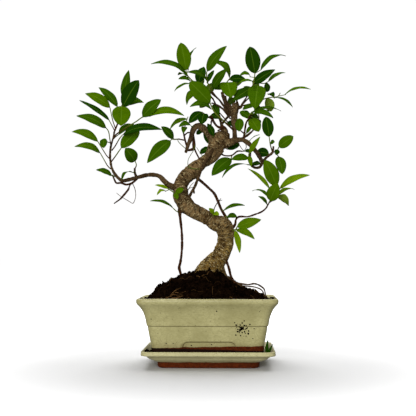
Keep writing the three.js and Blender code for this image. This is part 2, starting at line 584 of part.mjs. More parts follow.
const TONES = { young: 0x7f9a1e, bright: 0x4f7d0c, mid: 0x37660a, dark: 0x1f460c };

function seen([across, up, depth]) {
  const reach = 1 - depth / EYE.y;
  const x = EYE.x + (across - EYE.x) * reach;
  const z = EYE.z + (up - EYE.z) * reach;
  return new THREE.Vector3(x, depth, z);
}

// A closed solid from any geometry, with its shared corners merged and flat triangles dropped.
function solid(geometry) {
  geometry.deleteAttribute("normal");
  geometry.deleteAttribute("uv");
  const merged = mergeVertices(geometry, 1e-4);
  const corners = merged.index.array;
  const kept = [];
  for (let i = 0; i < corners.length; i += 3) {
    const [a, b, c] = corners.subarray(i, i + 3);
    if (a !== b && b !== c && c !== a) kept.push(a, b, c);
  }
  return new wasm.Manifold(new wasm.Mesh({
    numProp: 3,
    vertProperties: new Float32Array(merged.attributes.position.array),
    triVerts: new Uint32Array(kept),
  }));
}

// The largest body of a solid without its tiny edges, so that a loose scrap left by a cut is dropped.
function mainBody(shape) {
  const bodies = shape.simplify(SMALLEST_EDGE).decompose();
  return bodies.reduce((best, body) => (body.volume() > best.volume() ? body : best));
}

function mesh(name, shape, colour, roughness) {
  const { vertProperties, triVerts } = shape.getMesh();
  const geometry = new THREE.BufferGeometry();
  geometry.setAttribute("position", new THREE.BufferAttribute(new Float32Array(vertProperties), 3));
  geometry.setIndex(new THREE.BufferAttribute(new Uint32Array(triVerts), 1));
  geometry.computeVertexNormals();
  const material = new THREE.MeshStandardMaterial({ color: colour, roughness, metalness: 0 });
  const result = new THREE.Mesh(geometry, material);
  result.name = name;
  return result;
}

// A round strand that follows its route and tapers with it: a cylinder bent along a curve.
function strand(route, sides, extra = 0) {
  const curve = new THREE.CatmullRomCurve3(route.map(seen));
  const steps = route.length - 1;
  const frames = curve.computeFrenetFrames(steps);
  const geometry = new THREE.CylinderGeometry(1, 1, 1, sides, steps);
  const position = geometry.attributes.position;
  for (let i = 0; i < position.count; i += 1) {
    const ring = Math.round((position.getY(i) + 0.5) * steps);
    const t = curve.getUtoTmapping(ring / steps);
    const place = t * steps;
    const before = Math.min(Math.floor(place), steps - 1);
    const radius = THREE.MathUtils.lerp(route[before][3], route[before + 1][3], place - before) + extra;
    const point = curve.getPoint(t);
    const lengthening = ring === 0 ? -extra : ring === steps ? extra : 0;
    point.addScaledVector(frames.tangents[ring], lengthening);
    point.addScaledVector(frames.normals[ring], position.getX(i) * radius);
    point.addScaledVector(frames.binormals[ring], -position.getZ(i) * radius);
    position.setXYZ(i, point.x, point.y, point.z);
  }
  return solid(geometry);
}

// All the wood as one solid. The extra radius is for the room that other pieces leave round it.
function wood(extra) {
  const parts = Object.values(STRANDS).map((route) => {
    const thickest = Math.max(...route.map((point) => point[3]));
    const sides = thickest > 7 ? 11 : thickest > 3 ? 6 : thickest > 1.9 ? 5 : 4;
    return strand(route, sides, extra);
  });
  return wasm.Manifold.union(parts);
}

// Gives a one-sided sheet a thickness along a direction, with walls round its free edges.
function thickened(sheet, direction, thickness) {
  const top = sheet.attributes.position;
  const count = top.count;
  const points = [];
  for (const sideways of [0.5, -0.5]) {
    for (let i = 0; i < count; i += 1) {
      const point = new THREE.Vector3().fromBufferAttribute(top, i);
      point.addScaledVector(direction, sideways * thickness);
      points.push(...point.toArray());
    }
  }
  const index = sheet.index.array;
  const edges = new Set();
  const faces = [];
  for (let i = 0; i < index.length; i += 3) {
    const [a, b, c] = index.slice(i, i + 3);
    faces.push(a, b, c, c + count, b + count, a + count);
    edges.add(`${a},${b}`).add(`${b},${c}`).add(`${c},${a}`);
  }
  for (const edge of edges) {
    const [a, b] = edge.split(",").map(Number);
    if (!edges.has(`${b},${a}`)) faces.push(b, a, a + count, b, a + count, b + count);
  }
  const geometry = new THREE.BufferGeometry();
  geometry.setAttribute("position", new THREE.BufferAttribute(new Float32Array(points), 3));
  geometry.setIndex(faces);
  return geometry;
}

// Half the blade's width at a place from its base, 0, to its drawn-out tip, 1.
function bladeHalfWidth(place, width) {
  const oval = Math.sin(Math.PI * place ** 0.8) ** 0.8 || 0;
  return Math.max((oval * width) / 2, place < 0.5 ? 0.6 : 0.35);
}

// Axes of a blade: along it, its upper face turned from the viewer towards the sky, and across it.
function bladeAxes(base, tip, turn) {
  const along = tip.clone().sub(base).normalize();
  const facing = new THREE.Vector3(0, -1, 0).addScaledVector(along, along.y).normalize();
  const skyward = along.clone().cross(facing);
  if (skyward.z < 0) skyward.negate();
  const angle = THREE.MathUtils.degToRad(turn);
  const face = facing.multiplyScalar(Math.cos(angle)).addScaledVector(skyward, Math.sin(angle));
  return { along, face, across: along.clone().cross(face) };
}

// A leaf in one piece: a narrow stalk, if it has one, and then a blade that is folded a little along
// its midrib and arched along its length.
function leaf(start, tip, { width, turn, stalk, arch }) {
  const base = start.clone().lerp(tip, stalk / start.distanceTo(tip));
  const length = base.distanceTo(tip);
  const { along, face, across } = bladeAxes(base, tip, turn);
  const bladeSteps = width > 13 ? 4 : 3;
  const stalkSteps = stalk > 0 ? 1 : 0;
  const sheet = new THREE.PlaneGeometry(2, 1, 2, bladeSteps + stalkSteps);
  const position = sheet.attributes.position;
  for (let i = 0; i < position.count; i += 1) {
    const row = Math.round((position.getY(i) + 0.5) * (bladeSteps + stalkSteps));
    const sideways = position.getX(i);
    const place = (row - stalkSteps) / bladeSteps;
    const half = place < 0 ? STALK_HALF_WIDTH : bladeHalfWidth(place, width);
    const lift = place < 0 ? 0 : arch * length * 4 * place * (1 - place);
    const point = place < 0 ? start.clone() : base.clone().addScaledVector(along, place * length);
    point.addScaledVector(across, sideways * half);
    point.addScaledVector(face, lift + LEAF_FOLD * Math.abs(sideways) * half);
    position.setXYZ(i, point.x, point.y, point.z);
  }
  return solid(thickened(sheet, face, BLADE_THICKNESS));
}

// The point of a shoot's stems that is seen nearest to a place, with its depth.
function stemPoint(stems, [across, up]) {
  let nearest = null;
  let least = Infinity;
  for (const route of stems) {
    const curve = new THREE.CatmullRomCurve3(route.map(([x, z, y]) => new THREE.Vector3(x, y, z)));
    for (const point of curve.getPoints(40)) {
      const distance = Math.hypot(point.x - across, point.z - up);
      if (distance < least) {
        least = distance;
        nearest = point;
      }
    }
  }
  return seen([nearest.x, nearest.z, nearest.y]);
}

// A leafy shoot: stems and leaves in one, cut clear of the wood that carries it.
function shoot({ stems, leaves }, room) {
  const parts = stems.map((route) => strand(route, STEM_SIDES));
  for (const [from, to, width, turn, stalk, arch] of leaves) {
    parts.push(leaf(stemPoint(stems, from), seen(to), { width, turn, stalk, arch }));
  }
  return mainBody(wasm.Manifold.union(parts).subtract(room));
}

// A point of a rounded rectangle. Each side has its middle, then the arc of the next corner.
function outlinePoint(number, halfWidth, halfDepth, corner) {
  const quarter = Math.floor(number / (CORNER_STEPS + 2)) % 4;
  const place = number % (CORNER_STEPS + 2);
  const turn = (quarter * Math.PI) / 2;
  const sideIsRight = quarter % 2 === 0;
  const reach = sideIsRight ? halfWidth : halfDepth;
  const spread = sideIsRight ? halfDepth : halfWidth;
  const round = Math.min(corner, halfWidth, halfDepth);
  const angle = (((place - 1) / CORNER_STEPS) * Math.PI) / 2;
  const out = place === 0 ? reach : reach - round + round * Math.cos(angle);
  const side = place === 0 ? 0 : spread - round + round * Math.sin(angle);
  return [
    Math.cos(turn) * out - Math.sin(turn) * side,
    Math.sin(turn) * out + Math.cos(turn) * side,
  ];
}

// A vessel or mound whose level rings, [half width, half depth, corner, height], are rounded
// rectangles. The rings run from the middle of the underside, up the outside, to the middle.
function ringed(rings, heightAt = (x, y, z) => z) {
  const profile = rings.map(([halfWidth, , , z]) => new THREE.Vector2(halfWidth, z));
  const geometry = new THREE.LatheGeometry(profile, RING_SIDES);
  const position = geometry.attributes.position;
  for (let i = 0; i < position.count; i += 1) {
    const number = Math.floor(i / rings.length);
    const [halfWidth, halfDepth, corner, z] = rings[i % rings.length];
    const [x, y] = outlinePoint(number, halfWidth, halfDepth, corner);
    position.setXYZ(i, x, y, heightAt(x, y, z));
  }
  return solid(geometry);
}

function ring(halfWidth, z, depthLess, corner) {
  return [halfWidth, halfWidth - depthLess, corner, z];
}

// Pot profiles as [half width, height]: the outside from the foot to the rim, and the inside.
const POT_OUTSIDE = [
  [64.3, SAUCER_FLOOR_Z], [65.6, 29], [68.6, 46], [68.8, 48], [69.9, 48.8], [71.1, 56],
  [72.8, 62.5], [75, 67.5], [77.6, 71], [80.1, 73.6], [80.8, 75.6], [POT_RIM_HALF_WIDTH, 78],
  [79.9, POT_RIM_Z],
];
const POT_FLOOR_Z = 20;
const POT_INSIDE = [[75.6, POT_RIM_Z], [74.6, 78.3], [69, 70], [57.5, POT_FLOOR_Z]];
const POT_UNDERSIDE_Z = 15.5;
const POT_PANEL_DEPTH = 1.5;
const DRAIN_RADIUS = 6;
const DRAIN_X = 26;

function potInsideHalfWidth(z) {
  const [, , [topHalf, topZ], [lowHalf, lowZ]] = POT_INSIDE;
  return THREE.MathUtils.mapLinear(z, lowZ, topZ, lowHalf, topHalf);
}

function pot() {
  const wall = ([halfWidth, z]) => ring(halfWidth, z, POT_DEPTH_LESS, POT_CORNER);
  const body = ringed([
    [0, 0, 0, POT_UNDERSIDE_Z],
    wall([54.5, POT_UNDERSIDE_Z]),
    wall([55.5, SAUCER_FLOOR_Z]),
    ...POT_OUTSIDE.map(wall),
    ...POT_INSIDE.map(wall),
    [0, 0, 0, POT_FLOOR_Z],
  ]);
  const drains = [-DRAIN_X, DRAIN_X].map((x) => {
    const hole = new THREE.CylinderGeometry(DRAIN_RADIUS, DRAIN_RADIUS, 20, 12);
    hole.rotateX(Math.PI / 2);
    hole.translate(x, 0, POT_FLOOR_Z);
    return solid(hole);
  });
  const panels = panelCut(wall);
  return body.subtract(wasm.Manifold.union([...drains, panels]));
}

// The shallow panels at the foot of the pot's front and back, with rounded upper corners.
function panelCut(wall) {
  const shape = new THREE.Shape();
  shape.moveTo(-29, 0);
  shape.lineTo(-29, 25);
  shape.quadraticCurveTo(-28, 30, -23, 30);
  shape.lineTo(25, 30);
  shape.quadraticCurveTo(30, 30, 31, 25);
  shape.lineTo(31, 0);
  const block = new THREE.ExtrudeGeometry(shape, { depth: 160, bevelEnabled: false, curveSegments: 4 });
  block.rotateX(Math.PI / 2);
  block.translate(0, 80, 0);
  const inset = POT_OUTSIDE.slice(0, 4).map(([halfWidth, z]) => wall([halfWidth - POT_PANEL_DEPTH, z]));
  const core = ringed([[0, 0, 0, 0], wall([61, 0]), ...inset, [0, 0, 0, 48]]);
  return solid(block).subtract(core);
}

function saucer() {
  const wall = ([halfWidth, z]) => ring(halfWidth, z, SAUCER_DEPTH_LESS, SAUCER_CORNER);
  const outside = [
    [58.5, 0], [59, 6.5], [60.5, 7.3], [65, 9.3], [69, 12], [71, 14.4], [75.6, 15.2],
    [SAUCER_HALF_WIDTH, 17.5], [76.2, SAUCER_RIM_Z],
  ];
  const inside = [[74.4, SAUCER_RIM_Z], [71, 16.8], [67.5, 13.6], [66, SAUCER_FLOOR_Z]];
  return ringed([[0, 0, 0, 0], ...outside.map(wall), ...inside.map(wall), [0, 0, 0, SAUCER_FLOOR_Z]]);
}

// The soil fills the pot and stands up round the trunk in a mound, fuller on the left.
const SOIL_BOTTOM_Z = POT_FLOOR_Z + CLEARANCE;
const SOIL_EDGE_Z = 76.5;
const SOIL_TOP_Z = 78;
const MOUND_RISE = 31;
const MOUND_SQUARENESS = 2.4;
const SOIL_HALF_WIDTH = 72.5;

function moundHeight(x, y) {
  const halfDepth = SOIL_HALF_WIDTH - POT_DEPTH_LESS;
  const outX = Math.abs(x / SOIL_HALF_WIDTH) ** MOUND_SQUARENESS;
  const outY = Math.abs(y / halfDepth) ** MOUND_SQUARENESS;
  const out = Math.min(1, (outX + outY) ** (1 / MOUND_SQUARENESS));
  const fullness = THREE.MathUtils.lerp(2.2, 0.85, THREE.MathUtils.smoothstep(x, -20, 20));
  const lumps = Math.sin(x * 0.31 + y * 0.17) * Math.sin(y * 0.29 - x * 0.11);
  return MOUND_RISE * (1 - out ** fullness) + 1.2 * lumps * (1 - out);
}

function soil(room) {
  const wall = (halfWidth, z) => ring(halfWidth - CLEARANCE, z, POT_DEPTH_LESS, POT_CORNER);
  const rings = [
    [0, 0, 0, SOIL_BOTTOM_Z],
    wall(potInsideHalfWidth(SOIL_BOTTOM_Z), SOIL_BOTTOM_Z),
    wall(potInsideHalfWidth(70), 70),
    wall(SOIL_HALF_WIDTH, SOIL_EDGE_Z),
  ];
  for (const share of [0.93, 0.81, 0.66, 0.49, 0.3, 0]) {
    const halfDepth = (SOIL_HALF_WIDTH - POT_DEPTH_LESS) * share;
    rings.push([SOIL_HALF_WIDTH * share, halfDepth, POT_CORNER + 25 * (1 - share), SOIL_TOP_Z]);
  }
  const body = ringed(rings, (x, y, z) => (z === SOIL_TOP_Z ? z + moundHeight(x, y) : z));
  return mainBody(body.translate([POT_SHIFT_X, 0, 0]).subtract(room));
}

// A leaf that has dropped into the saucer and leans beside the pot.
function fallenLeaf() {
  const base = new THREE.Vector3(66.5, -38, SAUCER_FLOOR_Z + CLEARANCE + 0.5);
  const tip = new THREE.Vector3(68.5, -40, 33);
  return leaf(base, tip, { width: 7, turn: 10, stalk: 2, arch: 0.06 });
}

const tree = new THREE.Group();
const bareWood = wood(0);
const room = wood(CLEARANCE);
const potBody = pot().translate([POT_SHIFT_X, 0, 0]);
tree.add(mesh("saucer", saucer(), 0xa9a371, 0.35));
tree.add(mesh("pot", potBody, 0xa8a270, 0.35));
tree.add(mesh("soil", soil(wood(ROOT_CLEARANCE)), 0x1b110a, 0.95));
tree.add(mesh("tree_wood", mainBody(bareWood), 0x6e5a37, 0.85));
for (const [name, description] of Object.entries(SHOOTS)) {
  tree.add(mesh(name, shoot(description, room), TONES[description.tone], 0.45));
}
tree.add(mesh("fallen_leaf", fallenLeaf(), 0x1f4a1a, 0.5));

export default tree;
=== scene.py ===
"""A small fig bonsai with a bent trunk, aerial roots and loose leafy shoots, in a glazed pot on a saucer.

Metres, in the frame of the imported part: +X to the right, +Y away from the viewer, +Z up, with the
origin in the middle of the saucer's underside. Routes and outlines are written in millimetres.
"""
import math
import random

import bmesh
import bpy
from mathutils import Matrix, Vector, kdtree, noise
from mathutils.bvhtree import BVHTree


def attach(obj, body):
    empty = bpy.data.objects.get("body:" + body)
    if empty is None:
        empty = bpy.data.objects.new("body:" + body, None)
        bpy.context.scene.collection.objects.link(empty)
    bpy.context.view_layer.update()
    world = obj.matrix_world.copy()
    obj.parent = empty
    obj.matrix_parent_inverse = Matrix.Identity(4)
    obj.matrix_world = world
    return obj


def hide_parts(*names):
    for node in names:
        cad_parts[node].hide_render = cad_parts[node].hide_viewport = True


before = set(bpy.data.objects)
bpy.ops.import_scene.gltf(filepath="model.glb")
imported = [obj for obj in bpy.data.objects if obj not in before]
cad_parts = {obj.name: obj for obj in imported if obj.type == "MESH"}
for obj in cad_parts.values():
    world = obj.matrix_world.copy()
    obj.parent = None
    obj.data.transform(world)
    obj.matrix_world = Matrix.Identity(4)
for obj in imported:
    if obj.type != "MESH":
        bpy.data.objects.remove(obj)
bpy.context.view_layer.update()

MM = 0.001
SEED = 7

# The tree is described as it is seen from the front: across and up are read in the upright plane
# through the trunk, and a point nearer or farther slides along its line of sight from this eye.
EYE = Vector((25, -957, 128))

# Wood: each strand is [across, up, depth, radius] from its root to its tip.
STRANDS = {
    "trunk": [
        [-9, 94, 2, 15.5], [-3, 108, 2, 14.5], [6, 119, 3, 12.4], [13, 128, 4, 10.9], [18, 138, 5, 10.2],
        [20, 148, 6, 9.8], [20, 157, 6, 10.9], [16.5, 164, 5, 11], [8.2, 167.3, 3, 9.8],
        [-1, 173.2, 0, 8.8], [-9, 177.2, -3, 8.7], [-20, 182.8, -6, 9.1], [-28.4, 190, -8, 9.5],
        [-33.8, 198.5, -8, 9.3], [-34, 208, -7, 8.3], [-33, 215, -5, 8.4], [-28, 223, -3, 8.9],
        [-22, 229, -1, 8.8], [-15, 234.5, 0, 7.6], [-7.2, 241.2, 1, 6.7], [0.6, 248.8, 2, 6.6],
        [5, 256.2, 3, 7.5], [8.4, 263.5, 3, 9.9], [13, 268.5, 3, 10.4], [17, 272.5, 3, 8.8],
        [19, 275, 3, 6.5],
    ],
    "trunk_side": [[-8, 238, 3, 3.6], [0, 241, 3, 4.6], [7, 247, 3, 4.8], [14, 257, 3, 5]],
    "trunk_knuckle": [[14, 267, 3, 7], [20, 272.5, 2, 6], [22, 277, 2, 3.6]],
    "flare_left": [[0, 116, 0, 8], [-10, 109, -5, 5.4], [-22, 97, -10, 3.4]],
    "flare_front": [[5, 113, -3, 8], [4, 100, -12, 5], [3, 88, -20, 3]],
    "flare_right": [[11, 121, 3, 7.5], [16, 109, 4, 4.4], [22, 95, 4, 3]],
    "flare_back": [[4, 118, 8, 8], [2, 106, 18, 5], [-1, 91, 27, 3]],
    "basal_root": [
        [16, 131, 2, 4], [21, 121, -1, 2], [24, 112, -3, 1.6], [26, 104, -5, 1.6], [32, 94, -8, 1.4],
    ],
    "aerial_root_left": [
        [-32.5, 190, -8, 4.8], [-34.8, 181, -9, 2.8], [-34.8, 174, -10, 1.8], [-33, 157, -10, 1.6],
        [-32.5, 144, -10, 1.6], [-33, 132, -11, 1.5], [-34.5, 121, -11, 1.6], [-36, 114, -11, 1.9],
        [-34, 106, -12, 1.7], [-32, 91, -13, 1.4],
    ],
    "strap_root": [
        [4, 256, -3, 2.2], [-3, 244, -8, 2.1], [-8, 235, -11, 2], [-11, 228, -11, 1.9],
        [-14, 220, -10, 1.8], [-17, 212, -10, 1.7], [-21, 205, -11, 1.8], [-24, 199, -11, 1.9],
        [-27, 192, -8, 2],
    ],
    "strap_stub": [[-19, 210, -10, 1.3], [-18, 203, -10, 1]],
    "aerial_root_right": [
        [-18, 224, 1, 2], [-10, 218, 4, 1.8], [-1, 210, 6, 1.6], [6, 203, 7, 1.7], [10, 195, 8, 1.7],
        [14, 185, 8, 1.7], [18, 178, 8, 1.8], [24, 168, 7, 1.8],
    ],
    "surface_root": [
        [22, 103, 3, 2.3], [28, 98, 3, 1.9], [34, 95.5, -2, 1.5], [41, 94.5, -8, 1.2], [47, 94, -12, 1.15],
        [53, 95, -14, 1.15], [58, 94, -16, 1.1], [63, 91, -17, 1.05], [66, 87.5, -18, 1],
        [67.5, 79, -19, 0.95],
    ],
    "surface_root_low": [
        [34, 95, -3, 1.1], [38, 92.5, -14, 0.9], [46, 92, -19, 0.8], [54, 91, -22, 0.8],
        [61, 88.5, -24, 0.75], [64.5, 84.5, -25, 0.75], [66, 78, -26, 0.75],
    ],
    "branch_left": [
        [-35, 208, -7, 4.6], [-46, 212, -10, 3.9], [-54, 218, -12, 3.3], [-60, 224, -14, 2.9],
        [-68, 226, -16, 2.6], [-76, 225.5, -17, 2.5], [-86, 223, -18, 2.4], [-97, 220, -18, 2.3],
        [-105, 219, -17, 2.2], [-111, 223, -16, 2], [-116.5, 231, -15, 1.7], [-119, 239, -14, 1.6],
        [-120, 248, -13, 1.5], [-119.5, 258, -13, 1.4], [-118, 265, -13, 1.3], [-116, 272, -13, 1.2],
        [-115, 278.5, -13, 1.1],
    ],
    "stub_left": [[-86.5, 222, -18, 1.6], [-89.5, 227, -19, 1.4], [-90, 234, -20, 1.2]],
    "loop_left": [
        [-86, 222, -18, 1.3], [-93, 216, -14, 1.3], [-100, 214, -13, 1.3], [-106, 216, -13, 1.3],
        [-112, 216, -14, 1.2], [-114.5, 220, -15, 1.1], [-117, 226, -16, 1],
    ],
    "hanging_root": [
        [-93, 216, -14, 0.9], [-96, 212.5, -13, 0.8], [-98, 207.5, -13, 1.2], [-105, 199, -14, 1.3],
        [-108, 196, -15, 1], [-115, 191, -16, 0.6],
    ],
    "branch_low": [
        [25, 158, 3, 2.2], [31, 165.5, 1, 1.7], [32, 171.5, 0, 1.4], [36, 175, -1, 1.3], [46, 175, -3, 1.2],
        [54, 177.5, -4, 1.2], [63, 181, -5, 1.1], [69, 186, -6, 1.1],
    ],
    "branch_right": [
        [9, 262, 3, 7], [18, 262.5, 2, 6.2], [26, 265, 1, 4.9], [33, 267.5, 0, 3.6], [40, 268, -2, 3],
        [47, 264, -4, 2.8], [53, 258, -6, 2.7], [58, 251.5, -8, 2.6], [62, 245, -9, 2.4],
        [64.5, 240, -9, 2.2],
    ],
    "loop_right": [
        [64.5, 241, -9, 2], [61, 235, -11, 1.7], [55.5, 234, -13, 1.6], [51, 237, -15, 1.5],
        [49, 242.5, -17, 1.3], [49.5, 249.5, -18, 1.2], [50, 255, -18, 1],
    ],
    "fork_right": [
        [64.5, 240, -9, 1.9], [68, 245.5, -8, 1.6], [72.5, 249, -7, 1.5], [76.5, 253, -6, 1.4],
        [77.5, 260, -6, 1.1],
    ],
    "branch_up_left": [
        [9, 264, 2, 6.5], [2.5, 271, 0, 5.2], [-3.5, 278.5, -3, 4.7], [-9.5, 284, -5, 4.4],
        [-15.5, 284.5, -6, 3.9], [-19.5, 279, -7, 3.3], [-22, 270, -8, 2.8], [-25.5, 261.5, -9, 2.4],
        [-28.5, 252.5, -10, 1.5],
    ],
    "knot_twig": [[-19.5, 274, -5, 1.5], [-18.5, 264, -3, 2.1], [-19.5, 257, -4, 1.8], [-29, 255, -8, 1.2]],
    "tangle_twig": [[-26.5, 258.5, -9, 1.2], [-29, 267.5, -11, 1.2], [-31, 276.5, -12, 1]],
    "tangle_cross": [[-30, 273.5, -12, 0.9], [-25.5, 277, -11, 0.9], [-20.5, 275.5, -8, 0.9]],
    "dark_root": [[-19, 266.5, -4, 1.2], [-17, 255.5, -4, 1], [-11, 243.5, -3, 0.9]],
    "upright": [
        [31, 266.5, 0, 3.6], [31, 272.5, 2, 2.9], [30.5, 281, 4, 3], [30.4, 289.2, 5, 3.9],
        [30.2, 297.6, 6, 4.6], [30.8, 304, 6, 4.7], [31.4, 309, 6, 4.6], [32, 312.5, 6, 3.2],
    ],
    "knob_left": [[30, 305.5, 6, 2], [24.5, 310, 8, 1.5], [21, 315.5, 10, 1.1], [20, 321.5, 12, 0.9]],
    "knob_right": [
        [31, 306, 6, 2], [38, 307, 4, 1.4], [40, 311.5, 3, 1.3], [42.5, 315.5, 3, 1.1], [46, 321, 3, 0.9],
    ],
    "knob_side": [[39, 309.5, 4, 1], [47, 310, 6, 0.8]],
    "knob_top": [[31, 308.5, 6, 1.6], [33.5, 314.5, 7, 1.1], [33, 321.5, 9, 0.9]],
    "crown_twig": [
        [30, 288, 5, 2.8], [28, 297, 6, 2.6], [24.5, 305, 7, 2.7], [21, 311, 8, 2.8], [18, 318, 9, 2.6],
        [15, 326.5, 10, 1.5],
    ],
    "crown_twig_left": [
        [27.5, 297, 5, 1.8], [22, 303, 5, 1.5], [17, 310, 5, 1.4], [12, 317, 5, 1.2], [5, 323, 4, 0.9],
    ],
    "crown_twig_low": [[24, 300, 5, 1.3], [16, 306, 2, 1.2], [9, 310.5, 0, 1.1], [3, 313, -2, 0.9]],
    "dead_twig": [
        [21, 277, 3, 3], [18, 283, 1, 2.1], [12.5, 283, -1, 1.8], [8.5, 285.5, -2, 1.5], [5, 291, -3, 1.5],
        [3, 294.5, -4, 1.9], [-1.5, 295.5, -4, 1.1],
    ],
    "dead_prong": [[16, 281.5, 1, 1.2], [10, 279, 1, 0.8]],
    "dead_spur": [[3, 292, -3, 1], [2, 284.5, -3, 0.7]],
    "twig_right": [
        [41, 266.5, -2, 1.6], [42.5, 275, -2, 1.2], [43.5, 282, -2, 1.2], [45, 289, -2, 1.1],
        [48.5, 294.5, -3, 1], [52, 299.5, -4, 0.8],
    ],
    "twig_fork": [[42.8, 275, -2, 0.9], [38, 279, 1, 0.7]],
    "under_twig": [
        [10, 257, 6, 1.8], [16, 250, 9, 1], [22, 248.5, 9, 0.9], [28, 249.5, 8, 0.9], [34, 254, 6, 1],
        [39.5, 254, 5, 0.8],
    ],
    "back_branch": [
        [16, 267.5, 8, 4], [16, 282, 20, 2.4], [12.5, 295, 30, 1.8], [9, 308.5, 36, 1.3], [4, 319, 40, 1],
    ],
    "back_twig": [[15, 287, 25, 1.6], [25.5, 299, 34, 1.4], [37.5, 308.5, 40, 1.1], [46, 317, 43, 0.9]],
    "back_limb": [[12, 264, 4, 3.4], [35, 267.5, 24, 2], [49.5, 276, 34, 1.4], [59, 287, 38, 1.1]],
}


def lone_leaf(tone, stem, tip, width, turn, arch):
    """A shoot with one stem that ends in a single leaf without a stalk of its own."""
    return tone, [stem], [[stem[-1][:2], tip, width, turn, 0, arch]]


